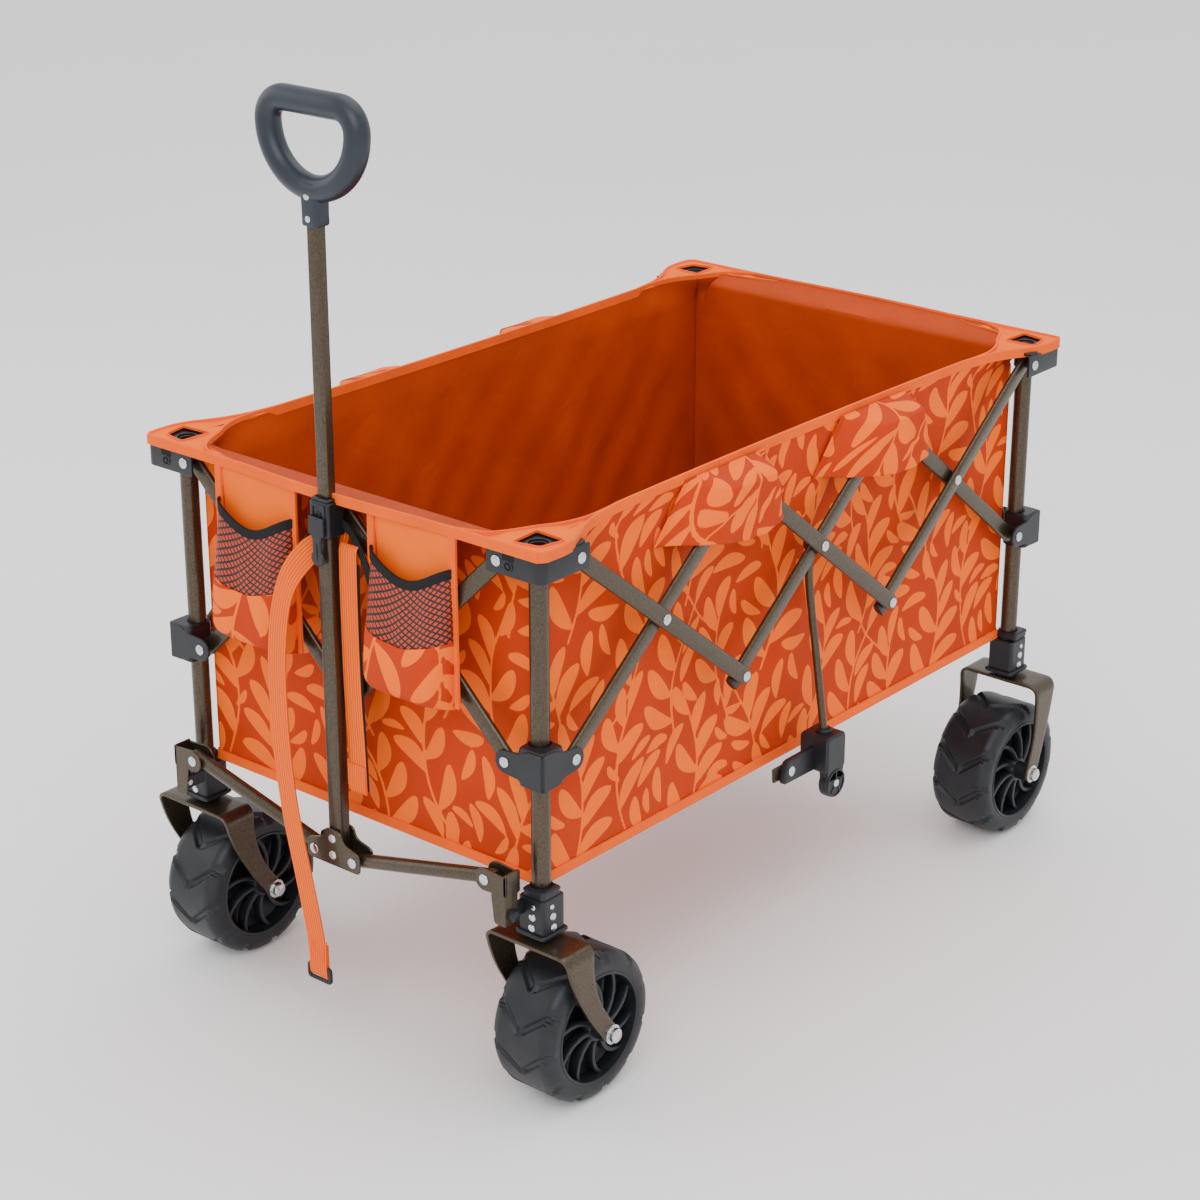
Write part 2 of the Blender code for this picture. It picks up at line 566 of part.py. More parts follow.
def clevis(hand):
    """The tilting sheet bracket between a front foot and the handle's arm."""
    x = 1 if hand == "right" else -1
    pivot_x, web_x = -ARM_PIVOT_IN, -0.005
    low, high, foot_low = ARM_PIVOT_Z - 0.012, ARM_PIVOT_Z + 0.012, TILT_Z - 0.010
    upper = arc((pivot_x, ARM_PIVOT_Z), 0.012, 90, 270, 6) + [(web_x, low), (web_x, high)]
    tongue = [(-0.024, low + 0.001), (-0.020, foot_low), (web_x, foot_low), (web_x, ARM_PIVOT_Z)]
    near, far = HANDLE_OUT - CHEEK_HALF_GAP, HANDLE_OUT + CHEEK_HALF_GAP
    web = [
        (near - SHEET, low), (near - SHEET, high), (far + SHEET, high),
        (far + SHEET, foot_low), (near + 0.001, foot_low), (near + 0.001, low),
    ]
    rivet = [(0, 0), (0, RIVET_HEAD_R), (RIVET_HEAD, RIVET_HEAD_R), (RIVET_HEAD, RIVET_R)]
    long = RIVET_HEAD + 2 * (CHEEK_HALF_GAP + SHEET)
    rivet += [(long, RIVET_R), (long, RIVET_HEAD_R)]
    rivet += [(long + RIVET_HEAD, RIVET_HEAD_R), (long + RIVET_HEAD, 0)]
    add = [
        prism(upper, near - SHEET, near, "y"),
        prism(upper, far, far + SHEET, "y"),
        prism(tongue, far + 0.0002, far + SHEET - 0.0002, "y"),
        prism(web, web_x - SHEET, web_x + 0.0001, "x"),
        lathe(rivet, (pivot_x, far + SHEET + RIVET_HEAD, ARM_PIVOT_Z), (0, -1, 0), 10),
        cylinder((web_x - 0.001, HANDLE_OUT, TILT_Z), (-0.0145, HANDLE_OUT, TILT_Z), RIVET_R, 10),
    ]
    frame = corner_frame(f"front_{hand}")
    name = f"handle_clevis_{hand}"
    piece(name, "bronze_frame", add, (), frame, (x * ARM_OUTER_X, FRONT_Y, TILT_Z))


def handle_arm(hand):
    """A round arm from a clevis to the bracket under the pole."""
    x = 1 if hand == "right" else -1
    outer = Vector((x * ARM_OUTER_X, FRONT_Y, ARM_PIVOT_Z))
    inner = Vector((x * BASE_PIVOT_X, FRONT_Y, BASE_PIVOT_Z))
    along = (inner - outer).normalized()
    add = [cylinder(outer - along * ARM_R, inner + along * ARM_R, ARM_R, 14)]
    cut = []
    for end in (outer, inner):
        reach = Vector((0, ARM_R + GAP, 0))
        cut.append(cylinder(end - reach, end + reach, RIVET_HOLE_R, 10))
    piece(f"handle_arm_{hand}", "bronze_frame", add, cut, None, outer)


def base_bracket():
    """The two plates that hold the pole's foot and both arms."""
    half, low, high = BASE_PIVOT_X + 0.0105, BASE_PIVOT_Z - 0.011, BASE_PIVOT_Z + 0.013
    outline = [(-half, low + 0.006), (-half + 0.006, low), (half - 0.006, low), (half, low + 0.006)]
    outline += [(half, high - 0.006), (half - 0.010, high), (0.012, high + 0.016), (-0.012, high + 0.016)]
    outline += [(-half + 0.010, high), (-half, high - 0.006)]
    pins = [pin_along_y(x, BASE_PIVOT_Z) for x in (-BASE_PIVOT_X, BASE_PIVOT_X)]
    pins += [pin_along_y(0, z) for z in (BASE_PIVOT_Z + 0.001, BASE_PIVOT_Z + 0.019)]
    plates = cheeks(outline)
    origin = (BASE_PIVOT_X, FRONT_Y, BASE_PIVOT_Z)
    piece("handle_base_bracket", "bronze_frame", plates + pins, (), None, origin)


def pole():
    """The two telescoping tubes, the collar between them, its lever and the grip."""
    outer, inner = rectangular_tube(LOWER_TUBE, TUBE_WALL, *LOWER_TUBE_Z)
    reach = Vector((0, LOWER_TUBE[1], 0))
    holes = []
    for z in (BASE_PIVOT_Z + 0.001, BASE_PIVOT_Z + 0.019):
        centre = Vector((0, FRONT_Y, z))
        holes.append(cylinder(centre - reach, centre + reach, RIVET_HOLE_R, 10))
    piece("pole_lower_tube", "bronze_frame", [outer], [inner, *holes], None, (0, FRONT_Y, LOWER_TUBE_Z[0]))

    outer, inner = rectangular_tube(UPPER_TUBE, TUBE_WALL, *UPPER_TUBE_Z)
    piece("pole_upper_tube", "bronze_frame", [outer], [inner], None, (0, FRONT_Y, UPPER_TUBE_Z[0]))

    block, _ = rectangular_tube(COLLAR, TUBE_WALL, *COLLAR_Z)
    room = [[size + 2 * GAP for size in tube] for tube in (LOWER_TUBE, UPPER_TUBE)]
    lower, _ = rectangular_tube(room[0], TUBE_WALL, COLLAR_Z[0] - GAP, LOWER_TUBE_Z[1] + GAP)
    upper, _ = rectangular_tube(room[1], TUBE_WALL, COLLAR_Z[0], COLLAR_Z[1] + GAP)
    piece("pole_collar", "black_plastic", [block], [lower, upper], None, (0, FRONT_Y, COLLAR_Z[0]))


def lever():
    """The thumb lever that frees the upper tube: shoulders, a waist and a round pad."""
    pad_z = LEVER_Z - LEVER_PAD_DROP
    right = [(0.011, LEVER_Z + 0.0015), (0.011, LEVER_Z - 0.018), (0.006, LEVER_Z - 0.030)]
    outline = right + arc((0, pad_z), 0.0085, 45, -225, 10)
    outline += [(-x, z) for x, z in right[::-1]]
    face = FRONT_Y - COLLAR[1] / 2 - GAP
    plate = prism(outline, face - 0.004, face, "y")
    piece("pole_lever", "black_plastic", [plate], (), None, (0, face - 0.002, LEVER_Z))


def grip():
    """A D shaped loop on a short neck over the upper tube."""
    waist = GRIP_TOP_Z - GRIP_CORNER
    drop = waist - GRIP_BOTTOM_Z
    turns = [math.pi * (step / 14 - 0.5) for step in range(15)]
    lower = [(GRIP_HALF * math.sin(a), waist - drop * math.cos(a)) for a in turns]
    right = arc((GRIP_HALF - GRIP_CORNER, waist), GRIP_CORNER, 0, 90, 5)[1:]
    left = arc((GRIP_CORNER - GRIP_HALF, waist), GRIP_CORNER, 90, 180, 5)[:-1]
    path = [(x, FRONT_Y, z) for x, z in lower + right + left]
    half_x, half_y = NECK[0] / 2, NECK[1] / 2
    bevel = 0.004
    outline = [(half_x - bevel, half_y), (half_x, half_y - bevel)]
    outline += [(half_x, bevel - half_y), (half_x - bevel, -half_y)]
    outline += [(-x, y) for x, y in outline[::-1]]
    outline = [(x, y + FRONT_Y) for x, y in outline]
    neck = prism(outline, NECK_BOTTOM_Z, GRIP_BOTTOM_Z - 0.004, "z")
    room = [size + 2 * GAP for size in UPPER_TUBE]
    sleeve, _ = rectangular_tube(room, TUBE_WALL, NECK_BOTTOM_Z - GAP, UPPER_TUBE_Z[1] + GAP)
    loop = tube_along(path, GRIP_R, 12, (0, 1, 0), closed=True)
    piece("grip", "grip_plastic", [loop, neck], [sleeve], None, (0, FRONT_Y, NECK_BOTTOM_Z))


# ---------------------------------------------------------------- fabric
def tub():
    """The fabric tub: walls and floor, a tab over each corner, two pockets and two straps in front."""
    x, y = HALF_X - TUB_IN, HALF_Y - TUB_IN
    low, rim, wall = TUB_BOTTOM_Z, TUB_RIM_Z, TUB_WALL
    add = [box((-x, MID_Y - y, low), (x, MID_Y + y, rim))]
    cut = [box((-x + wall, MID_Y - y + wall, low + wall), (x - wall, MID_Y + y - wall, rim + GAP))]
    front = MID_Y - HALF_Y
    tab_low = rim - TAB_THICK
    tabs, windows = fabric_tabs(tab_low, rim)
    add += tabs
    cut += windows
    near, far = POCKET_OUT
    for hand in (-1, 1):
        inner, outer = sorted(hand * edge for edge in POCKET_X)
        add.append(box((inner, front - near - wall, POCKET_Z[0]), (outer, front - near, rim)))
        add.append(box((inner, front - near - wall, tab_low), (outer, front + TUB_IN + wall / 2, rim)))
        add.append(box((inner, front - far, POCKET_Z[0]), (outer, front - near - 0.001, POCKET_Z[1])))
        low_corner = (inner + wall, front - far + wall, POCKET_Z[0] + wall)
        cut.append(box(low_corner, (outer - wall, front - near - wall, POCKET_Z[1] + GAP)))
    add += straps(front, tab_low, rim)
    piece("fabric_tub", "orange_fabric", add, cut)


def fabric_tabs(low, high):
    """The reinforced corner tabs, each cut away over its post's open top: (solids, cutters)."""
    edge, outer, bevel = -TUB_IN, TAB_OUT, 0.006
    outline = [(outer, -0.024), (outer, outer - bevel), (outer - bevel, outer), (-0.024, outer)]
    outline += [(-TAB_IN, edge - 0.001), (edge - 0.001, -TAB_IN)]
    window = [(0.013, -0.018), (0.0105, 0.004), (0.004, 0.0105), (-0.018, 0.013), (-0.0085, -0.0085)]
    tabs, windows = [], []
    for corner in CORNERS:
        for points, found, over in ((outline, tabs, 0), (window, windows, GAP)):
            shape = prism(points, low - over, high + over, "z")
            bmesh.ops.transform(shape, matrix=corner_frame(corner), verts=shape.verts)
            bmesh.ops.recalc_face_normals(shape, faces=shape.faces)
            found.append(shape)
    return tabs, windows


def straps(front, low, high):
    """The long webbing strap with its free end, and the short one beside the pole."""
    near, far = STRAP_OUT
    route = [(-0.026, -0.070), (-0.047, -0.130), (-0.048, -0.240)]
    route += [(-0.029, -0.355), (-0.009, -0.470), (-0.006, -0.496)]
    half = STRAP_WIDTH / 2
    right = [(x + half, TOP_PIVOT_Z + z) for x, z in route]
    left = [(x - half, TOP_PIVOT_Z + z) for x, z in route]
    hook_z = TOP_PIVOT_Z + route[0][1]
    short_x, near_wall = 0.037, POCKET_OUT[0]
    short_far = near_wall + STRAP_THICK
    return [
        prism(right + left[::-1], front - far, front - near, "y"),
        box((-0.034, front - near - 0.001, hook_z - 0.016), (-0.018, front + TUB_IN + 0.001, hook_z - 0.004)),
        box((short_x - half, front - short_far, TOP_PIVOT_Z - 0.29), (short_x + half, front - near_wall, high)),
        box((short_x - half, front - short_far, low), (short_x + half, front + TUB_IN + 0.001, high)),
    ]


def main():
    for item in list(bpy.data.objects):
        bpy.data.objects.remove(item)
    for corner in CORNERS:
        post(corner)
        top_bracket(corner)
        slider(corner)
        foot(corner)
        fork(corner)
        wheel(corner)
    for side, (_, _, count, _) in SIDES.items():
        for number in range(count):
            bar(side, "down", number)
            bar(side, "up", number)
    for side in ("right", "left"):
        hanging_rod(side)
    for hand in ("right", "left"):
        clevis(hand)
        handle_arm(hand)
    base_bracket()
    pole()
    lever()
    grip()
    tub()


main()
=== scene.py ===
"""Looks for a folding garden wagon: hammered bronze scissor frame, printed fabric tub and pull handle.

Everything is in metres in the model's own frame: +Z up, the pull handle at -Y, origin on the ground.
A corner's own frame has u and v pointing out of the wagon, along X and Y, from its post's axis.
A side's own frame has s along the side, w pointing out of the wagon from the post axes, and z up.
"""

import json
import math

import bmesh
import bpy
import numpy as np
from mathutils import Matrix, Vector


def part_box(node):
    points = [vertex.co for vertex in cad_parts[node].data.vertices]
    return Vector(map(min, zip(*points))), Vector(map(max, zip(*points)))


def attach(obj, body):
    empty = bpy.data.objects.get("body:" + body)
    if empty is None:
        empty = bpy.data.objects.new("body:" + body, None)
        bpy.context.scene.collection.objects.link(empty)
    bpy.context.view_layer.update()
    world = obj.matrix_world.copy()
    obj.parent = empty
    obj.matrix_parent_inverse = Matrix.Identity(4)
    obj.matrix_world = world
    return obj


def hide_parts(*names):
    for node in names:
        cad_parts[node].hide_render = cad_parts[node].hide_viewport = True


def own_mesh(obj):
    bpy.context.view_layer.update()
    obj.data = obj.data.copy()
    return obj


bl_info = {
    "name": "Folding Wagon",
    "version": (1, 0, 0),
    "blender": (4, 5, 0),
    "location": "3D View > Sidebar > Wagon",
    "description": "Builds a folding wagon with a printed fabric tub on its frame",
    "category": "Object",
}

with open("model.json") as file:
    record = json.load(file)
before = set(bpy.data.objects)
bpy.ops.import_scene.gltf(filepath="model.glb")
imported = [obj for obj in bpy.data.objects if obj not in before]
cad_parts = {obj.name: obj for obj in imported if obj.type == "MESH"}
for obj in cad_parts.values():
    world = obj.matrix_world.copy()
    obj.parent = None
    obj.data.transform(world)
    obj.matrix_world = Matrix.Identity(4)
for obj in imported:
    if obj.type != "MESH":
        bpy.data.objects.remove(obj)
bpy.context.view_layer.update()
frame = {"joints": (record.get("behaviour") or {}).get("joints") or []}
JOINTS = {joint["name"]: joint for joint in frame["joints"]}
MM = 0.001

CORNERS = {
    "front_right": (1, -1),
    "front_left": (-1, -1),
    "rear_right": (1, 1),
    "rear_left": (-1, 1),
}


def node_centre(node):
    low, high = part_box(node)
    return (np.array(low) + np.array(high)) / 2


# ---------------------------------------------------------------- places read from the frame
POST = {corner: node_centre(f"post_{corner}") for corner in CORNERS}
HALF_X = (POST["front_right"][0] - POST["front_left"][0]) / 2
HALF_Y = (POST["rear_right"][1] - POST["front_right"][1]) / 2
MID_Y = (POST["rear_right"][1] + POST["front_right"][1]) / 2
TOP_Z = JOINTS["fold"]["pos_m"][2]
LOW_Z = JOINTS["fold_slider_front_right"]["pos_m"][2]
CROSS_Z = (TOP_Z + LOW_Z) / 2
INSET = JOINTS["fold"]["pos_m"][1] - POST["front_right"][1]
HANDLE_Y = JOINTS["handle_tilt"]["pos_m"][1]
RIM_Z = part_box("fabric_tub")[1][2]
TUB_LOW_Z = 0.234
WALL_W = -0.011  # the tub's walls, from the post axes
AXLE_Z = JOINTS["roll_front_right"]["pos_m"][2]
BAR_LAYERS = (0.0195, 0.0115, 0.0035)  # inner faces of the three layers of bars, outermost first
BAR_THICK = 0.007
FOLD_KEEP_X = 0.415  # what is left of the width and of the length when folded
FOLD_KEEP_Y = 0.672

# Side: its frame's s and w directions, crossings, half its length, the corner at each end of s.
SIDES = {
    "right": ((0, 1), (1, 0), 3, HALF_Y, ("front_right", "rear_right")),
    "left": ((0, 1), (-1, 0), 3, HALF_Y, ("front_left", "rear_left")),
    "front": ((-1, 0), (0, -1), 2, HALF_X, ("front_right", "front_left")),
    "rear": ((-1, 0), (0, 1), 2, HALF_X, ("rear_right", "rear_left")),
}
# The body each side's fabric hangs on, the axis it crumples along, and what is left of it.
SIDE_BODY = {
    "right": ("frame_front_right", (0, 1, 0), "front_right", FOLD_KEEP_Y),
    "left": ("frame_front_left", (0, 1, 0), "front_left", FOLD_KEEP_Y),
    "front": ("frame_front_right", (1, 0, 0), "front_right", FOLD_KEEP_X),
    "rear": ("frame_rear_right", (1, 0, 0), "rear_right", FOLD_KEEP_X),
}


def from_corner(corner, points):
    """(u, v, z) of a corner's own frame to the wagon's frame."""
    x, y = CORNERS[corner]
    points = np.asarray(points, float)
    return points * (x, y, 1) + (POST[corner][0], POST[corner][1], 0)


def from_side(side, points):
    """(s, w, z) of a side's own frame to the wagon's frame."""
    (sx, sy), (wx, wy) = SIDES[side][:2]
    turn = np.array([(sx, sy, 0), (wx, wy, 0), (0, 0, 1)], float)
    return np.asarray(points, float) @ turn + (wx * HALF_X, MID_Y + wy * HALF_Y, 0)


# ---------------------------------------------------------------- surfaces
def grid_faces(rows, columns, round_rows=False, round_columns=False):
    """The quads of a grid of points, closed on itself in either direction if asked."""
    row = np.arange(rows if round_rows else rows - 1)
    column = np.arange(columns if round_columns else columns - 1)
    a, b = (each.ravel() for each in np.meshgrid(row, column, indexing="ij"))
    c, d = (a + 1) % rows, (b + 1) % columns
    return np.stack([a * columns + b, c * columns + b, c * columns + d, a * columns + d], -1).tolist()


def grid_shape(points, round_rows=False, round_columns=False, caps=False):
    """A shape from a rows x columns x 3 array; caps closes its first and last rows with one face each."""
    rows, columns = points.shape[:2]
    faces = grid_faces(rows, columns, round_rows, round_columns)
    if caps:
        faces += [list(range(columns))[::-1], list(range((rows - 1) * columns, rows * columns))]
    return points.reshape(-1, 3), faces


def unit(vectors):
    return vectors / np.linalg.norm(vectors, axis=-1, keepdims=True)


def sweep(path, section, up=(0, 0, 1), scale=None, closed=False, bevel=0.0):
    """A section carried along a path: point(i, j) = path_i + scale_i (side_i a_j + up_i b_j).

    side_i is square to the path and to up. A bevel draws the ends in by a quarter circle of that size.
    """
    path, section = np.asarray(path, float), np.asarray(section, float)
    scale = np.ones(len(path)) if scale is None else np.asarray(scale, float)
    if bevel and not closed:
        reach = np.abs(section).max()
        turn = np.radians([0, 30, 60, 90])
        start, end = unit(path[0] - path[1]), unit(path[-1] - path[-2])
        first = path[0] + start * (bevel * (np.cos(turn) - 1))[:, None]
        last = path[-1] + end * (bevel * (np.cos(turn[::-1]) - 1))[:, None]
        shrink = 1 - bevel / reach * (1 - np.sin(turn))
        path = np.concatenate([first, path[1:-1], last])
        scale = np.concatenate([shrink * scale[0], scale[1:-1], shrink[::-1] * scale[-1]])
    if closed:
        along = np.roll(path, -1, 0) - np.roll(path, 1, 0)
    else:
        along = np.gradient(path, axis=0)
    along = unit(along)
    side = unit(np.cross(along, np.broadcast_to(np.asarray(up, float), along.shape)))
    upward = np.cross(side, along)
    a, b = section[:, 0][None, :, None], section[:, 1][None, :, None]
    points = path[:, None] + scale[:, None, None] * (side[:, None] * a + upward[:, None] * b)
    return grid_shape(points, round_rows=closed, round_columns=True, caps=not closed)


def turned(profile, start, direction, sides=40):
    """Gives the piece its own copy of its mesh."""
    profile = np.asarray(profile, float)
    axis = unit(np.asarray(direction, float))
    a = unit(np.cross(axis, (0.3, 0.5, 0.8)))
    b = np.cross(axis, a)
    turn = np.arange(sides) * math.tau / sides
    ring = np.cos(turn)[:, None] * a + np.sin(turn)[:, None] * b
    radius = np.maximum(profile[:, 1], 1e-5)
    points = np.asarray(start, float) + profile[:, :1, None].reshape(-1, 1, 1) * axis + radius[:, None, None] * ring
    return grid_shape(points, round_columns=True, caps=True)


def arc(centre, radius, first, last, steps=8):
    """Points of an arc, its angles in degrees."""
    turn = np.radians(np.linspace(first, last, steps + 1))
    return np.stack([centre[0] + radius * np.cos(turn), centre[1] + radius * np.sin(turn)], -1)


def round_rectangle(width, height, radius, steps=5, centre=(0, 0)):
    """A rectangle's outline with round corners."""
    x, y = width / 2 - radius, height / 2 - radius
    places = ((x, y, 0), (-x, y, 90), (-x, -y, 180), (x, -y, 270))
    return np.concatenate([arc((a, b), radius, t, t + 90, steps) for a, b, t in places]) + centre


def rounded(corners, radius, steps=4):
    """A polygon's outline, each corner replaced by a parabola that starts and ends radius from it."""
    corners = np.asarray(corners, float)
    before, after = np.roll(corners, 1, 0) - corners, np.roll(corners, -1, 0) - corners
    reach = [np.minimum(radius, np.linalg.norm(way, axis=1) * 0.49)[:, None] for way in (before, after)]
    first, last = corners + unit(before) * reach[0], corners + unit(after) * reach[1]
    t = np.linspace(0, 1, steps + 1)[None, :, None]
    curve = (1 - t) ** 2 * first[:, None] + 2 * t * (1 - t) * corners[:, None] + t**2 * last[:, None]
    return curve.reshape(-1, 2)


def smooth_path(points, steps=8):
    """A Catmull-Rom curve through the points."""
    points = np.asarray(points, float)
    ends = np.concatenate([[2 * points[0] - points[1]], points, [2 * points[-1] - points[-2]]])
    a, b, c, d = ends[:-3, None], ends[1:-2, None], ends[2:-1, None], ends[3:, None]
    t = (np.arange(steps) / steps)[None, :, None]
    curve = 0.5 * (2 * b + (c - a) * t + (2 * a - 5 * b + 4 * c - d) * t**2 + (3 * b - a - 3 * c + d) * t**3)
    return np.concatenate([curve.reshape(-1, points.shape[1]), points[-1:]])


def along_axis(plane, height, axis):
    """(a, b) of a plane and a height along an axis, as points: z gives (a, b, h), y (a, h, b), x (h, a, b)."""
    height = np.broadcast_to(height, plane.shape[:-1])
    a, b = plane[..., 0], plane[..., 1]
    return np.stack({"z": (a, b, height), "y": (a, height, b), "x": (height, a, b)}[axis], -1)


def plate(outline, low, high, axis="z", bevel=0.0006, hole=None):
    """An outline extruded from low to high, its rim drawn in by the bevel; a hole of as many points goes through it."""
    outline = np.asarray(outline, float)

    def drawn_in(loop, by):
        ahead = np.roll(loop, -1, 0) - np.roll(loop, 1, 0)
        normal = unit(np.stack([-ahead[:, 1], ahead[:, 0]], -1) + 1e-12)
        area = np.sum(loop[:, 0] * np.roll(loop[:, 1], -1) - loop[:, 1] * np.roll(loop[:, 0], -1))
        return loop + normal * by * np.sign(area)

    levels = [(bevel, low), (0, low + bevel), (0, high - bevel), (bevel, high)]
    rings = [along_axis(drawn_in(outline, inset), z, axis) for inset, z in levels]
    if hole is None:
        return grid_shape(np.stack(rings), round_columns=True, caps=True)
    hole = np.asarray(hole, float)
    rings += [along_axis(drawn_in(hole, -inset), z, axis) for inset, z in levels[::-1]]
    return grid_shape(np.stack(rings), round_rows=True, round_columns=True)


def rays(polygon, centre, angles):
    """Where rays from a centre meet a polygon: the furthest crossing of centre + r (cos t, sin t) with its edges."""
    polygon, centre = np.asarray(polygon, float), np.asarray(centre, float)
    start, way = polygon - centre, np.roll(polygon, -1, 0) - polygon
    ray = np.stack([np.cos(angles), np.sin(angles)], -1)
    cross = ray[:, None, 0] * way[None, :, 1] - ray[:, None, 1] * way[None, :, 0]
    cross = np.where(np.abs(cross) < 1e-12, 1e-12, cross)
    reach = (start[None, :, 0] * way[None, :, 1] - start[None, :, 1] * way[None, :, 0]) / cross
    share = (start[None, :, 0] * ray[:, None, 1] - start[None, :, 1] * ray[:, None, 0]) / cross
    reach = np.where((share >= -1e-6) & (share <= 1 + 1e-6) & (reach > 0), reach, 0).max(1)
    return centre + ray * reach[:, None]


def moved(shape, move):
    return move(shape[0]), shape[1]


def dome(place, direction, radius=None, height=0.0022):
    """A rivet's low mushroom head: radius and height follow a quarter ellipse over a short rim."""
    radius = radius or sizes().rivet_radius
    turn = np.radians(np.linspace(0, 90, 7))
    profile = [(-0.0006, radius)]
    profile += list(zip(0.0005 + (height - 0.0005) * np.sin(turn), radius * np.cos(turn)))
    return turned([(-0.0006, 0.0), *profile], place, direction, 20)


# ---------------------------------------------------------------- materials
def linear(hex_colour):
    """An sRGB hex colour as linear RGBA."""
    value = np.array([int(hex_colour[i : i + 2], 16) for i in (1, 3, 5)]) / 255
    value = np.where(value <= 0.04045, value / 12.92, ((value + 0.055) / 1.055) ** 2.4)
    return (*value.tolist(), 1.0)


def colour_property(name, description, hex_colour):
    """A colour the user may change, from its sRGB hex default."""
    return bpy.props.FloatVectorProperty(
        name=name, description=description, default=linear(hex_colour)[:3], subtype="COLOR", min=0.0, max=1.0
    )


def size_property(name, description, default, low, high):
    """A length the user may change, in metres, between two bounds."""
    return bpy.props.FloatProperty(
        name=name, description=description, default=default, min=low, max=high, unit="LENGTH", precision=5
    )


class WagonColours(bpy.types.PropertyGroup):
    """The wagon's colours."""

    print_ground: colour_property("Print ground", "The dark colour between the printed leaves", "#B93200")
    print_leaf: colour_property("Print leaves", "The light colour of the printed leaves and stems", "#FF6800")
    lining: colour_property("Lining", "The inside of the tub", "#AC3A05")
    tab: colour_property("Corner tabs", "The plain cloth over the corners", "#FC6A00")
    binding: colour_property("Binding", "The tape round the rim and the hems", "#F25C00")
    webbing: colour_property("Webbing", "The two straps at the front", "#EE5C00")
    bronze: colour_property("Frame paint", "The hammertone paint on the steel", "#4A4032")
    nylon: colour_property("Frame mouldings", "The moulded brackets, sleeves and feet", "#181B20")
    grip: colour_property("Grip", "The overmoulded pull handle", "#1D242F")
    tyre: colour_property("Wheels", "The moulded wheels", "#161A1F")
    zinc: colour_property("Rivets", "The plated rivets, pins and nuts", "#CCCFD2")


class WagonSizes(bpy.types.PropertyGroup):
    """Sizes of the details that lie on the frame's own dimensions."""

    bar_height: size_property("Bar height", "Height of a flattened scissor bar", 0.018, 0.012, 0.022)
    rivet_radius: size_property("Rivet radius", "Radius of a rivet's domed head", 0.0056, 0.004, 0.008)
    tread_depth: size_property("Tread depth", "Depth of the chevron grooves in the tyres", 0.0032, 0.001, 0.005)
    tread_pitch: size_property("Tread pitch", "Distance from one chevron to the next", 0.045, 0.025, 0.07)
    wall_cloth: size_property("Wall thickness", "Thickness of a wall with its lining", 0.0016, 0.0008, 0.003)
    binding_width: size_property("Binding width", "Width of the tape round the rim", 0.0104, 0.006, 0.014)
    leaf_gap: size_property("Leaf gap", "Ground left between two printed leaves", 0.0017, 0.0004, 0.005)
    leaf_scale: bpy.props.FloatProperty(
        name="Leaf scale", description="Size of the leaf print", default=1.25, min=0.5, max=2.0
    )
    drawn_thread: size_property("Drawn thread", "The least thread spacing that is drawn", 0.002, 0.0005, 0.004)


def colours():
    return bpy.context.scene.wagon_colours


def sizes():
    return bpy.context.scene.wagon_sizes


def add(tree, kind, inputs=None, **settings):
    """A node with its settings, and its inputs set or linked."""
    node = tree.nodes.new(kind)
    for name, value in settings.items():
        setattr(node, name, value)
    for name, value in (inputs or {}).items():
        if isinstance(value, bpy.types.NodeSocket):
            tree.links.new(value, node.inputs[name])
        else:
            node.inputs[name].default_value = value
    return node


def new_material(name, **values):
    """A material with a Principled shader of these values: (material, its tree, the shader)."""
    material = bpy.data.materials.new(name)
    material.use_nodes = True
    shader = material.node_tree.nodes["Principled BSDF"]
    for key, value in values.items():
        shader.inputs[key.replace("_", " ")].default_value = value
    return material, material.node_tree, shader


def two_colours(tree, factor, dark, light, start, end):
    """A colour between two linear ones, as a factor goes from start to end."""
    share = add(tree, "ShaderNodeMapRange", {"Value": factor, "From Min": start, "From Max": end})
    mix = add(tree, "ShaderNodeMix", {"Factor": share.outputs["Result"]}, data_type="RGBA")
    for socket, colour in ((mix.inputs[6], dark), (mix.inputs[7], light)):
        socket.default_value = (*colour[:3], 1.0)
    return mix.outputs[2]


def shaded(tree, factor, colour, spread, start=0.3, end=0.7):
    """One colour made darker and lighter by a share of itself, as a factor goes from start to end."""
    dark, light = (tuple(np.clip(np.array(colour[:3]) * (1 + side * spread), 0, 1)) for side in (-1, 1))
    return two_colours(tree, factor, dark, light, start, end)


def bump(tree, shader, height, distance, strength=1.0, under=None):
    """Raises the surface by a height of 0 to 1 times the distance."""
    inputs = {"Height": height, "Distance": distance, "Strength": strength}
    if under is not None:
        inputs["Normal"] = under
    node = add(tree, "ShaderNodeBump", inputs)
    tree.links.new(node.outputs["Normal"], shader.inputs["Normal"])
    return node.outputs["Normal"]


def hammered_bronze_paint():
    """Hammertone powder coat on steel: it beads as it cures, so it has soft bright pits about 2 mm across."""
    material, tree, shader = new_material("hammered_bronze_paint", Metallic=0.75, Roughness=0.36, Coat_Weight=0.2)
    place = add(tree, "ShaderNodeTexCoord").outputs["Object"]
    cells = add(tree, "ShaderNodeTexVoronoi", {"Vector": place, "Scale": 1 / (1.6 * MM)}, feature="SMOOTH_F1")
    grain = add(tree, "ShaderNodeTexNoise", {"Vector": place, "Scale": 1 / (1.8 * MM), "Detail": 2.0})
    colour = shaded(tree, grain.outputs["Fac"], colours().bronze, 0.28, 0.34, 0.66)
    tree.links.new(colour, shader.inputs["Base Color"])
    bump(tree, shader, cells.outputs["Distance"], 0.2 * MM, 0.45)
    return material


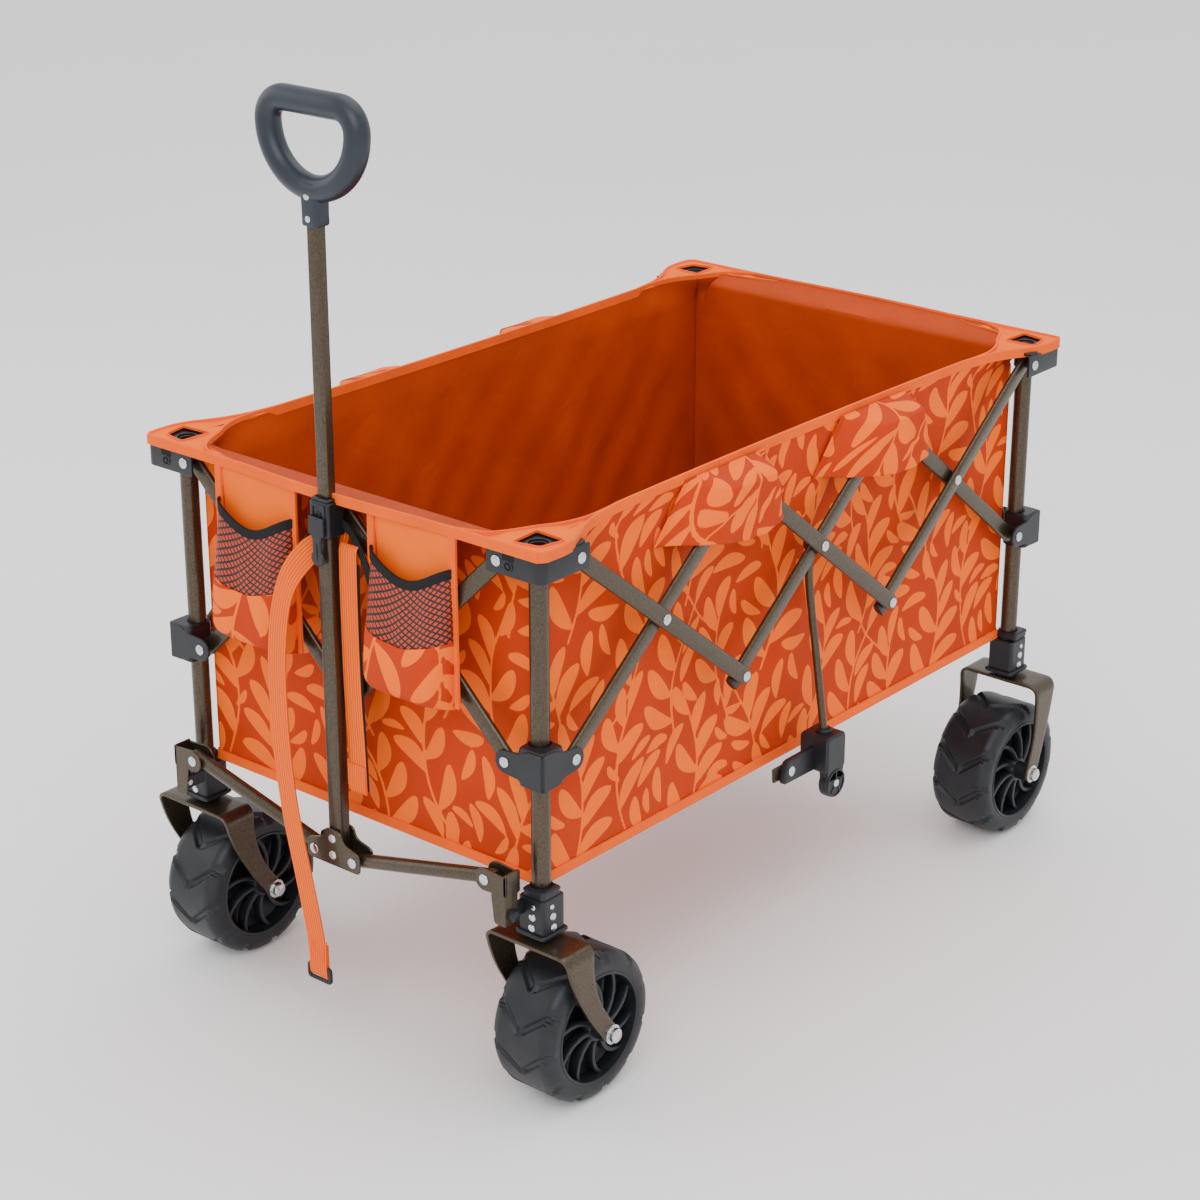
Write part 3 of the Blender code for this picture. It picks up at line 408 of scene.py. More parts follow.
def moulded_black_nylon():
    """Glass-filled nylon from a spark-eroded mould: dark, slightly blue, with a fine even satin grain."""
    material, tree, shader = new_material("moulded_black_nylon", Roughness=0.4, IOR=1.5, Specular_IOR_Level=0.38)
    place = add(tree, "ShaderNodeTexCoord").outputs["Object"]
    grain = add(tree, "ShaderNodeTexNoise", {"Vector": place, "Scale": 1 / (0.9 * MM), "Detail": 2.0})
    wear = add(tree, "ShaderNodeTexNoise", {"Vector": place, "Scale": 1 / (30 * MM), "Detail": 3.0})
    tree.links.new(shaded(tree, wear.outputs["Fac"], colours().nylon, 0.25), shader.inputs["Base Color"])
    bump(tree, shader, grain.outputs["Fac"], 0.06 * MM, 0.6)
    return material


def soft_touch_grip():
    """A rubbery overmoulded grip: slate blue-grey, with a broad soft highlight."""
    material, tree, shader = new_material("soft_touch_grip", Roughness=0.38, IOR=1.5, Specular_IOR_Level=0.42)
    place = add(tree, "ShaderNodeTexCoord").outputs["Object"]
    wear = add(tree, "ShaderNodeTexNoise", {"Vector": place, "Scale": 1 / (25 * MM), "Detail": 4.0})
    tree.links.new(shaded(tree, wear.outputs["Fac"], colours().grip, 0.18), shader.inputs["Base Color"])
    grain = add(tree, "ShaderNodeTexNoise", {"Vector": place, "Scale": 1 / (0.7 * MM)})
    bump(tree, shader, grain.outputs["Fac"], 0.05 * MM, 0.5)
    return material


def zinc_plated_steel():
    """Bright zinc on a headed rivet: silvery, with faint turning marks."""
    material, tree, shader = new_material("zinc_plated_steel", Metallic=1.0, Roughness=0.24)
    place = add(tree, "ShaderNodeTexCoord").outputs["Object"]
    marks = add(tree, "ShaderNodeTexNoise", {"Vector": place, "Scale": 1 / (1.5 * MM), "Detail": 4.0})
    tree.links.new(shaded(tree, marks.outputs["Fac"], colours().zinc, 0.22), shader.inputs["Base Color"])
    bump(tree, shader, marks.outputs["Fac"], 0.04 * MM, 0.5)
    return material


def moulded_tyre():
    """Foamed PVC tread: near black with a bluish sheen, and a faint cloudy skin."""
    material, tree, shader = new_material("moulded_tyre", Roughness=0.44, IOR=1.5, Specular_IOR_Level=0.4)
    place = add(tree, "ShaderNodeTexCoord").outputs["Object"]
    cloud = add(tree, "ShaderNodeTexNoise", {"Vector": place, "Scale": 1 / (18 * MM), "Detail": 4.0})
    tree.links.new(shaded(tree, cloud.outputs["Fac"], colours().tyre, 0.30), shader.inputs["Base Color"])
    grain = add(tree, "ShaderNodeTexNoise", {"Vector": place, "Scale": 1 / (1.2 * MM), "Detail": 2.0})
    bump(tree, shader, grain.outputs["Fac"], 0.1 * MM, 0.6)
    return material


def woven(tree, shader, pitch, depth):
    """Crossed threads on the cloth's own coordinates, in metres, a pitch apart; finer threads than drawn_thread are drawn that wide, to show."""
    cloth = add(tree, "ShaderNodeAttribute", attribute_name="cloth").outputs["Vector"]
    scale = math.tau / (20 * max(pitch, sizes().drawn_thread))
    waves = [
        add(tree, "ShaderNodeTexWave", {"Vector": cloth, "Scale": scale}, bands_direction=way).outputs["Fac"]
        for way in "XY"
    ]
    height = add(tree, "ShaderNodeMath", {0: waves[0], 1: waves[1]}, operation="MULTIPLY").outputs[0]
    place = add(tree, "ShaderNodeTexCoord").outputs["Object"]
    crease = add(tree, "ShaderNodeTexNoise", {"Vector": place, "Scale": 1 / (60 * MM), "Detail": 3.0, "Distortion": 0.6})
    under = bump(tree, shader, crease.outputs["Fac"], 5 * MM, 0.5)
    bump(tree, shader, height, depth, 0.5, under)


def printed_polyester():
    """Plain-woven polyester with a leaf print; print holds the distance into a leaf, so its edge stays crisp."""
    material, tree, shader = new_material("printed_polyester", Roughness=0.78, Specular_IOR_Level=0.18)
    leaf = add(tree, "ShaderNodeAttribute", attribute_name="print").outputs["Fac"]
    place = add(tree, "ShaderNodeTexCoord").outputs["Object"]
    shade = add(tree, "ShaderNodeTexNoise", {"Vector": place, "Scale": 1 / (90 * MM), "Detail": 2.0})
    ground = shaded(tree, shade.outputs["Fac"], colours().print_ground, 0.08)
    leaves = shaded(tree, shade.outputs["Fac"], colours().print_leaf, 0.06)
    edge = add(tree, "ShaderNodeMapRange", {"Value": leaf, "From Min": -0.0003, "From Max": 0.0003})
    mix = add(tree, "ShaderNodeMix", {"Factor": edge.outputs["Result"]}, data_type="RGBA")
    tree.links.new(ground, mix.inputs[6])
    tree.links.new(leaves, mix.inputs[7])
    tree.links.new(mix.outputs[2], shader.inputs["Base Color"])
    woven(tree, shader, 0.5 * MM, 0.12 * MM)
    return material


def plain_cloth(name, colour, pitch, depth):
    """Dyed polyester cloth or tape of one colour, with soft cloudy variation and its own thread pitch."""
    material, tree, shader = new_material(name, Roughness=0.78, Specular_IOR_Level=0.18)
    place = add(tree, "ShaderNodeTexCoord").outputs["Object"]
    shade = add(tree, "ShaderNodeTexNoise", {"Vector": place, "Scale": 1 / (70 * MM), "Detail": 3.0})
    tree.links.new(shaded(tree, shade.outputs["Fac"], colour, 0.09), shader.inputs["Base Color"])
    woven(tree, shader, pitch, depth)
    return material


def ribbed_webbing(name, colour):
    """Woven webbing: lengthwise cords about 3 mm apart, crossed by fine picks, so it is lit in stripes; its colour is
    also painted darker in the grooves between the cords, a painted shade that follows the ribs' bump.
    """
    material, tree, shader = new_material(name, Roughness=0.7, Specular_IOR_Level=0.2)
    cloth = add(tree, "ShaderNodeAttribute", attribute_name="cloth").outputs["Vector"]
    ribs = add(tree, "ShaderNodeTexWave", {"Vector": cloth, "Scale": math.tau / (20 * 3.1 * MM)}, bands_direction="X")
    picks = add(tree, "ShaderNodeTexWave", {"Vector": cloth, "Scale": math.tau / (20 * 2 * MM)}, bands_direction="Y")
    # painted shade: the colour darkens where the ribs' height is low, in the grooves between the cords
    tree.links.new(shaded(tree, ribs.outputs["Fac"], colour, 0.22, 0.0, 0.7), shader.inputs["Base Color"])
    under = bump(tree, shader, ribs.outputs["Fac"], 0.5 * MM, 0.8)
    bump(tree, shader, picks.outputs["Fac"], 0.2 * MM, 0.5, under)
    return material


def knitted_net():
    """Black polyester net over the cloth behind it: threads on two slants, with holes about 5 mm apart. The holes take
    the print's dark ground colour: the orange of the cloth behind, darkened as painted shade inside the pouch.
    """
    material, tree, shader = new_material("knitted_net", Roughness=0.6)
    cloth = add(tree, "ShaderNodeAttribute", attribute_name="cloth").outputs["Vector"]
    lines = []
    for slant in (35, -35):
        turned_cloth = add(tree, "ShaderNodeMapping", {"Vector": cloth, "Rotation": (0, 0, math.radians(slant))})
        wave = {"Vector": turned_cloth.outputs["Vector"], "Scale": math.tau / (20 * 5.2 * MM)}
        lines.append(add(tree, "ShaderNodeTexWave", wave, bands_direction="Y").outputs["Fac"])
    thread = add(tree, "ShaderNodeMath", {0: lines[0], 1: lines[1]}, operation="MAXIMUM").outputs[0]
    # painted shade: the holes between the threads are the cloth's orange darkened to the print's ground colour, for the
    # shade inside the pouch
    tree.links.new(two_colours(tree, thread, colours().print_ground, linear("#120E0D"), 0.66, 0.80), shader.inputs["Base Color"])
    bump(tree, shader, thread, 0.6 * MM, 0.8)
    return material


def painted_floor():
    """A pale seamless studio floor."""
    material, tree, shader = new_material("painted_floor", Roughness=0.7)
    place = add(tree, "ShaderNodeTexCoord").outputs["Object"]
    cloud = add(tree, "ShaderNodeTexNoise", {"Vector": place, "Scale": 0.8})
    tree.links.new(shaded(tree, cloud.outputs["Fac"], linear("#F9F9F9"), 0.02), shader.inputs["Base Color"])
    return material


FINISHES = {}


def finish(name):
    """The shared material of that name, made once."""
    makers = {
        "bronze": hammered_bronze_paint,
        "nylon": moulded_black_nylon,
        "grip": soft_touch_grip,
        "zinc": zinc_plated_steel,
        "tyre": moulded_tyre,
        "print": printed_polyester,
        "lining": lambda: plain_cloth("coated_polyester_lining", colours().lining, 0.6 * MM, 0.08 * MM),
        "plain": lambda: plain_cloth("plain_polyester", colours().tab, 0.5 * MM, 0.1 * MM),
        "tape": lambda: plain_cloth("binding_tape", colours().binding, 2.4 * MM, 0.3 * MM),
        "black_tape": lambda: plain_cloth("black_binding_tape", linear("#1B1C1E"), 2.0 * MM, 0.2 * MM),
        "webbing": lambda: ribbed_webbing("orange_webbing", colours().webbing),
        "net": knitted_net,
        "floor": painted_floor,
    }
    if name not in FINISHES:
        FINISHES[name] = makers[name]()
    return FINISHES[name]


# ---------------------------------------------------------------- pieces
def new_piece(name, parts, body, cad=(), outward=None, thick=0.0, sharp=40, attributes=None):
    """One piece from (shape, finish) pairs, riding on a body and standing for CAD nodes.

    outward, for an open sheet, is a direction its faces look along, and thick its thickness inwards.
    """
    points, faces, indices, finishes = [], [], [], []
    for (shape_points, shape_faces), finish_name in parts:
        start = sum(len(each) for each in points)
        points.append(shape_points)
        faces += [[start + index for index in face] for face in shape_faces]
        if finish_name not in finishes:
            finishes.append(finish_name)
        indices += [finishes.index(finish_name)] * len(shape_faces)
    mesh = bpy.data.meshes.new(name)
    mesh.from_pydata(np.concatenate(points).tolist(), [], faces)
    for finish_name in finishes:
        mesh.materials.append(finish(finish_name))
    mesh.polygons.foreach_set("material_index", indices)
    for attribute, (kind, values) in (attributes or {}).items():
        layer = mesh.attributes.new(attribute, kind, "POINT")
        layer.data.foreach_set("value" if kind == "FLOAT" else "vector", np.asarray(values, np.float32).ravel())
    work = bmesh.new()
    work.from_mesh(mesh)
    if outward is None:
        bmesh.ops.remove_doubles(work, verts=work.verts, dist=2e-6)
        bmesh.ops.recalc_face_normals(work, faces=work.faces)
    else:
        work.normal_update()
        facing = np.sum([np.array(face.normal) * face.calc_area() for face in work.faces], axis=0)
        if np.dot(facing, outward) < 0:
            bmesh.ops.reverse_faces(work, faces=work.faces)
    work.to_mesh(mesh)
    work.free()
    mesh.shade_smooth()
    mesh.set_sharp_from_angle(angle=math.radians(sharp))
    item = bpy.data.objects.new(name, mesh)
    bpy.context.scene.collection.objects.link(item)
    if thick:
        solid = item.modifiers.new("thickness", "SOLIDIFY")
        solid.thickness = thick
        solid.offset = -1
        if len(finishes) > 1:
            solid.material_offset = 1
            solid.material_offset_rim = 1
    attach(item, body)
    if cad:
        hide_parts(*([cad] if isinstance(cad, str) else cad))
    return item


def circle(radius, centre=(0, 0), steps=36):
    return arc(centre, radius, 0, 360, steps)[:-1]


def bored(polygon, radius, low, high, bevel=0.001, steps=64):
    """A plate with a round hole about the frame's axis, its rim and hole met along the same rays."""
    polygon = np.asarray(polygon, float)
    corner_turns = np.arctan2(polygon[:, 1], polygon[:, 0])
    turns = np.unique(np.round(np.concatenate([np.linspace(-math.pi, math.pi, steps)[:-1], corner_turns]), 6))
    hole = radius * np.stack([np.cos(turns), np.sin(turns)], -1)
    return plate(rays(polygon, (0, 0), turns), low, high, "z", bevel, hole)


# ---------------------------------------------------------------- corners
def make_posts():
    """Round steel posts, open at the top, each with a thin wall."""
    for corner in CORNERS:
        low, high = (np.array(each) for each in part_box(f"post_{corner}"))
        radius = (high[0] - low[0]) / 2
        tube = plate(circle(radius), low[2], high[2], "z", 0.0004, circle(radius - 0.0013))
        shape = moved(tube, lambda points, corner=corner: from_corner(corner, points))
        new_piece(f"post_tube_{corner}", [(shape, "bronze")], f"frame_{corner}", f"post_{corner}")


def keyhole(u, out, z):
    """A raised lock ring with its slot above, on the face at v = out."""
    ring = plate(circle(0.0056, (u, z - 0.002), 24), out - 0.001, out + 0.0009, "y", 0.0003, circle(0.004, (u, z - 0.002), 24))
    well = plate(circle(0.0041, (u, z - 0.002), 24), out - 0.001, out + 0.0001, "y", 0.0001)
    slot = plate(rounded([(u - 0.007, z + 0.003), (u + 0.007, z + 0.003), (u + 0.007, z + 0.0112), (u - 0.007, z + 0.0112)], 0.001), out - 0.001, out + 0.0003, "y", 0.0001)
    bolt = turned([(-0.0012, 0.0), (-0.0012, 0.0022), (0.0006, 0.0022), (0.0010, 0.0016), (0.0010, 0.0)], (u, out, z - 0.002), (0, 1, 0), 16)
    return [(ring, "nylon"), (well, "black_tape"), (slot, "black_tape"), (bolt, "nylon")]


def make_top_brackets():
    """Moulded caps: an L of wall with a round corner, a core round the post, and a plate on top."""
    low, high, top = TOP_Z - 0.0122, TOP_Z + 0.0125, TOP_Z + 0.0150
    out = 0.0295
    for corner in CORNERS:
        mid = out - 0.00125
        bend = arc((mid - 0.009, mid - 0.009), 0.009, 90, 0, 10)
        plan = np.concatenate([[(-0.038, mid)], [(-0.02, mid)], bend, [(mid, -0.02)], [(mid, -0.038)]])
        path = np.column_stack([plan, np.full(len(plan), (low + high) / 2)])
        wall = sweep(path, round_rectangle(0.0025, high - low, 0.0009, 3), bevel=0.0012)
        core = bored(rounded([(-0.0105, -0.0105), (0.0282, -0.0105), (0.0282, 0.0282), (-0.0105, 0.0282)], 0.008), 0.0098, low, high)
        inner = [(-0.036, 0.028), (-0.036, 0.004), (-0.0195, -0.0195), (0.004, -0.036), (0.028, -0.036), (0.028, 0.028)]
        lid = bored(rounded(inner, 0.006), 0.0098, high - 0.0008, top, 0.0005)
        lip = bored(circle(0.0125), 0.0097, top - 0.001, top + 0.0006, 0.0004)
        parts = [(wall, "nylon"), (core, "nylon"), (lid, "nylon"), (lip, "nylon")]
        parts += [(dome((out, -INSET, TOP_Z), (1, 0, 0)), "zinc"), (dome((-INSET, out, TOP_Z), (0, 1, 0)), "zinc")]
        if corner.startswith("front"):
            parts += keyhole(-0.011 if corner.endswith("right") else -0.001, out, TOP_Z)
        for inner_face, along in ((0.0275, "x"), (0.0275, "y")):
            place, way = ((inner_face, -INSET, TOP_Z), (-1, 0, 0))
            if along == "y":
                place, way = ((-INSET, inner_face, TOP_Z), (0, -1, 0))
            boss = turned([(0, 0.006), (0.0012, 0.006)], place, way, 20)
            parts.append((boss, "nylon"))
        parts = [(moved(shape, lambda p, c=corner: from_corner(c, p)), name) for shape, name in parts]
        new_piece(f"bracket_cap_{corner}", parts, f"frame_{corner}", f"top_bracket_{corner}")


def make_sliders():
    """Moulded sleeves on the posts: a tall core, and on each face a wing that ends round its rivet."""
    z, out, half, wing = LOW_Z, 0.0215, 0.020, 0.0122
    for corner in CORNERS:
        core = bored(rounded([(-0.0105, -0.0105), (0.0208, -0.0105), (0.0208, 0.0208), (-0.0105, 0.0208)], 0.006), 0.0099, z - half, z + half, 0.0015)
        neck = [(0.0195, z - half + 0.001), (0.0195, z + half - 0.001), (0.004, z + half - 0.001), (-0.010, z + 0.0135)]
        tip = arc((-INSET, z), wing, 90, 270, 12)
        outline = np.concatenate([neck, tip, [(-0.010, z - 0.0135), (0.004, z - half + 0.001)]])
        band = bored(rounded([(-0.0108, -0.0108), (0.0215, -0.0108), (0.0215, 0.0215), (-0.0108, 0.0215)], 0.006), 0.0099, z - 0.0165, z + 0.0165, 0.0008)
        parts = [(core, "nylon"), (band, "nylon")]
        for axis in "yx":
            parts.append((plate(outline, out - 0.0026, out + 0.0004, axis, 0.0009), "nylon"))
            place = (-INSET, out, z) if axis == "y" else (out, -INSET, z)
            way = (0, 1, 0) if axis == "y" else (1, 0, 0)
            parts.append((dome(np.array(place) + np.array(way) * 0.0006, way), "zinc"))
        parts = [(moved(shape, lambda p, c=corner: from_corner(c, p)), name) for shape, name in parts]
        new_piece(f"slide_sleeve_{corner}", parts, f"slider_{corner}", f"slider_{corner}")


def make_feet():
    """Moulded sockets under the posts, bolted through, with a hinge ear on the two front ones."""
    low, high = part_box("foot_rear_right")[0][2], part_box("foot_rear_right")[1][2]
    for corner in CORNERS:
        body = [(-0.0104, -0.0104), (0.016, -0.0104), (0.016, 0.016), (-0.0104, 0.016)]
        base = [(-0.016, -0.016), (0.016, -0.016), (0.016, 0.016), (-0.016, 0.016)]
        parts = [
            (bored(rounded(body, 0.004), 0.0098, 0.2335, high, 0.0015), "nylon"),
            (bored(rounded(base, 0.004), 0.0035, low + 0.003, 0.2332, 0.0012), "nylon"),
            (bored(rounded(np.array(base) * 1.19, 0.005), 0.0035, low, low + 0.0048, 0.0012), "nylon"),
            (bored(rounded(np.array(body) * 1.04, 0.004), 0.0098, high - 0.0045, high - 0.0005, 0.0012), "nylon"),
        ]
        bolts = ((0.002, 0.2135, 0.0042), (0.001, 0.2015, 0.0042), (0.0035, 0.2245, 0.0028))
        for u, z, radius in bolts:
            parts.append((dome((u, 0.0159, z), (0, 1, 0), radius, 0.0016), "zinc"))
            parts.append((dome((0.0159, u, z), (1, 0, 0), radius, 0.0016), "zinc"))
        if corner.startswith("front"):
            tilt_z, reach = JOINTS["handle_tilt"]["pos_m"][2], POST[corner][1] - HANDLE_Y
            tip = arc((reach, tilt_z), 0.0072, -90, 90, 12)
            outline = np.concatenate([tip, [(0.014, tilt_z + 0.0072), (0.014, tilt_z - 0.0072)]])
            parts.append((plate(outline, -0.014, -0.008, "x", 0.001), "nylon"))
        parts = [(moved(shape, lambda p, c=corner: from_corner(c, p)), name) for shape, name in parts]
        new_piece(f"foot_socket_{corner}", parts, f"frame_{corner}", f"foot_{corner}")


def fork_strap(axle_v, half_x, top_z):
    """Bent flat steel: its middle runs up one arm, across and down the other; half width and lean vary with height.

    v(z) leans from the plate's middle to the axle by the square of the way down, and the width tapers.
    """
    corner = arc((half_x - 0.012, top_z - 0.012), 0.012, 0, 90, 6)
    arm = np.column_stack([np.full(14, half_x), np.linspace(AXLE_Z - 0.012, top_z - 0.014, 14)])
    half = np.concatenate([arm, corner, [(0.02, top_z)]])
    path = np.concatenate([half, half[::-1] * (-1, 1)])
    way = np.clip((top_z - path[:, 1]) / (top_z - AXLE_Z), 0, 1.3)
    down = np.clip((AXLE_Z - path[:, 1]) / 0.012, 0, 1)
    centre = 0.004 + (axle_v - 0.004) * np.minimum(way, 1) ** 2
    width = (0.021 - 0.009 * np.minimum(way * 1.6, 1) ** 0.8) * np.sqrt(1 - 0.96 * down**2)
    across = np.linspace(-1, 1, 7)
    points = np.stack(np.broadcast_arrays(path[:, None, 0], centre[:, None] + width[:, None] * across, path[:, None, 1]), -1)
    return grid_shape(points)


def make_forks():
    """Bent flat forks with a domed axle nut on each side; the front two swivel on their stems."""
    for corner in CORNERS:
        front = corner.startswith("front")
        body = f"fork_{corner}" if front else f"frame_{corner}"
        axle_v = POST[corner][1] - JOINTS[f"roll_{corner}"]["pos_m"][1]
        axle_v = axle_v if front else -axle_v
        top_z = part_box(f"foot_{corner}")[0][2] - 0.0045
        strap = moved(fork_strap(axle_v, 0.0535, top_z), lambda p, c=corner: from_corner(c, p))
        item = new_piece(f"fork_strap_{corner}", [(strap, "bronze")], body, f"fork_{corner}", outward=(0, 0, 1))
        for modifier, kind in (("thickness", "SOLIDIFY"), ("edge", "BEVEL")):
            solid = item.modifiers.new(modifier, kind)
            if kind == "SOLIDIFY":
                solid.thickness, solid.offset = 0.0038, -1
            else:
                solid.width, solid.segments, solid.limit_method = 0.0007, 2, "ANGLE"
        parts = []
        for hand in (-1, 1):
            outer = hand * 0.0534
            nut = turned([(-0.0005, 0.0), (-0.0005, 0.0102), (0.0012, 0.0102), (0.0014, 0.0078), (0.0062, 0.0074), (0.0080, 0.0052), (0.0086, 0.0)], (outer, axle_v, AXLE_Z), (hand, 0, 0), 24)
            parts.append((nut, "zinc" if hand * CORNERS[corner][0] > 0 else "nylon"))
        parts.append((turned([(-0.001, 0.0), (-0.001, 0.013), (0.0055, 0.013), (0.006, 0.011), (0.006, 0.0)], (0, 0, top_z - 0.0005), (0, 0, 1), 32), "nylon"))
        parts = [(moved(shape, lambda p, c=corner: from_corner(c, p)), name) for shape, name in parts]
        new_piece(f"axle_ends_{corner}", parts, body)


def tyre_tread(centre_x):
    """Radius over the tread: R less a groove wherever (R t + |x| tan 40) falls in the first part of a pitch."""
    half, groove, pitch = 0.038, sizes().tread_depth, sizes().tread_pitch
    sides = np.array([(half - 0.001, 0.0575), (half, 0.061), (half, 0.068), (half - 0.003, 0.0745), (half - 0.0075, 0.0778)])
    flat = np.linspace(half - 0.012, -half + 0.012, 25)
    profile = np.concatenate([sides, np.column_stack([flat, np.full(25, 0.079)]), sides[::-1] * (-1, 1)])
    turns = np.arange(264) * math.tau / 264
    pitch = 0.079 * math.tau / round(0.079 * math.tau / pitch)
    place = (0.079 * turns[:, None] + np.abs(profile[None, :, 0]) * math.tan(math.radians(40))) % pitch
    share = np.clip((0.0056 - np.abs(place - 0.0070)) / 0.0018, 0, 1)
    share = share * np.clip((profile[None, :, 1] - 0.070) / 0.006, 0, 1) * np.clip((np.abs(profile[None, :, 0]) - 0.001) / 0.002, 0, 1)
    radius = profile[None, :, 1] - groove * share * share * (3 - 2 * share)
    points = np.stack(np.broadcast_arrays(centre_x + profile[None, :, 0], radius * np.cos(turns)[:, None], radius * np.sin(turns)[:, None]), -1)
    return grid_shape(points, round_rows=True)


def wheel_spoke(turn, hand):
    """A curved rib from the hub to the rim: its angle runs on by 24 degrees as its radius grows."""
    share = np.linspace(0, 1, 9)
    radius = 0.0135 + (0.0560 - 0.0135) * share
    angle = turn + math.radians(26) * share**1.5
    height = 0.0305 - 0.004 * share
    path = np.column_stack([hand * height, radius * np.cos(angle), radius * np.sin(angle)])
    return sweep(path, round_rectangle(0.0046, 0.012, 0.0012, 2), up=(1, 0, 0))


def make_wheels():
    """Wide moulded wheels: a chevron tread over a dished rim with ten curved ribs and a long hub."""
    for corner in CORNERS:
        place = np.array(JOINTS[f"roll_{corner}"]["pos_m"])
        parts = [(tyre_tread(0.0), "tyre")]
        for hand in (-1, 1):
            dish = [(0.0375, 0.0595), (0.0385, 0.0585), (0.0375, 0.0560), (0.030, 0.0550), (0.021, 0.0535), (0.019, 0.050), (0.018, 0.016)]
            dish += [(0.018, 0.0155), (0.034, 0.0150), (0.0365, 0.0135), (0.0365, 0.0105), (0.0492, 0.0100), (0.0492, 0.0053)]
            profile = np.array(dish)
            parts.append((turned([(0.005, 0.0595), *profile, (0.005, 0.0053)], (0, 0, 0), (hand, 0, 0), 64), "tyre"))
            parts += [(wheel_spoke(math.tau * k / 10, hand), "tyre") for k in range(10)]
        parts = [(moved(shape, lambda p, c=place: p + c), name) for shape, name in parts]
        new_piece(f"wheel_moulding_{corner}", parts, f"wheel_{corner}", f"wheel_{corner}", sharp=32)


# ---------------------------------------------------------------- scissor sides
def flat_bar(start, end, out, height=None, thick=BAR_THICK, over=0.009, first=None):
    """Flattened tube: half width w(u) = H/2 sqrt(1 - (past/over)^2) past a rivet, and a round-edged section.

    The section is (sgn(cos t) (w - e) + e cos t, e sin t), with e half the thickness.
    """
    height = height or sizes().bar_height
    start, end, out = (np.asarray(each, float) for each in (start, end, out))
    length = np.linalg.norm(end - start)
    along = (end - start) / length
    across = np.cross(out, along)
    first = over if first is None else first
    turn = np.radians(np.linspace(2, 90, 9))
    rows = np.concatenate([-first * np.cos(turn), [length / 2], length + over * np.cos(turn[::-1])])
    width = np.concatenate([np.sin(turn), [1], np.sin(turn[::-1])]) * height / 2
    t = np.arange(20) * math.tau / 20
    edge = thick / 2
    a = np.sign(np.cos(t))[None] * np.maximum(width - edge, 0)[:, None] + np.minimum(width, edge)[:, None] * np.cos(t)
    b = edge * np.sin(t)[None] * np.minimum(1, width / edge)[:, None] ** 0.3
    points = start + rows[:, None, None] * along + a[..., None] * across + b[..., None] * out
    return grid_shape(points, round_columns=True, caps=True)


def layer_middle(layer):
    return BAR_LAYERS[layer] + BAR_THICK / 2


def make_bars():
    """The scissor bars: falling ones outside rising ones, with rivets on the outermost bar at each pivot."""
    for side, (_, _, count, half, _) in SIDES.items():
        unit_length = 2 * (half - INSET) / count
        out = from_side(side, (0, 1, 0)) - from_side(side, (0, 0, 0))
        down_layers = [0] * (count - 1) + [2]

        def pivot(step, z, layer, face=0.0, side=side, half=half, unit_length=unit_length):
            return from_side(side, (INSET - half + step * unit_length, layer_middle(layer) + face, z))

        for number in range(count):
            for kind in ("down", "up"):
                layer = down_layers[number] if kind == "down" else 1
                low, high = (TOP_Z, LOW_Z) if kind == "down" else (LOW_Z, TOP_Z)
                parts = [(flat_bar(pivot(number, low, layer), pivot(number + 1, high, layer), out), "bronze")]
                face, rivets = BAR_THICK / 2, []
                if layer < max(1, down_layers[number]) or (kind == "up" and down_layers[number] == 2):
                    rivets.append((number + 0.5, CROSS_Z))
                if kind == "down" and layer == 0:
                    rivets += [(number, TOP_Z)] * (number > 0) + [(number + 1, LOW_Z)] * (number < count - 1)
                if kind == "up" and number < count - 1 and down_layers[number + 1] == 2:
                    rivets.append((number + 1, TOP_Z))
                for step, z in rivets:
                    parts.append((dome(pivot(step, z, layer, face), out), "zinc"))
                    deepest = 2 if layer == 1 or (number == 1 and step == 1.5) else 1
                    parts.append((dome(pivot(step, z, deepest, -face), -out, 0.005, 0.0016), "zinc"))
                if kind == "up" and number > 0:
                    toward = unit(pivot(number, low, layer) - pivot(number + 1, high, layer))
                    start = pivot(number, low, layer) + toward * 0.0135
                    cap = flat_bar(start, start - toward * 0.006, out, 0.0192, 0.0078, 0.0012)
                    parts.append((cap, "nylon"))
                name = f"bar_{side}_{number + 1}_{kind}"
                new_piece(f"flat_{name}", parts, name, name)


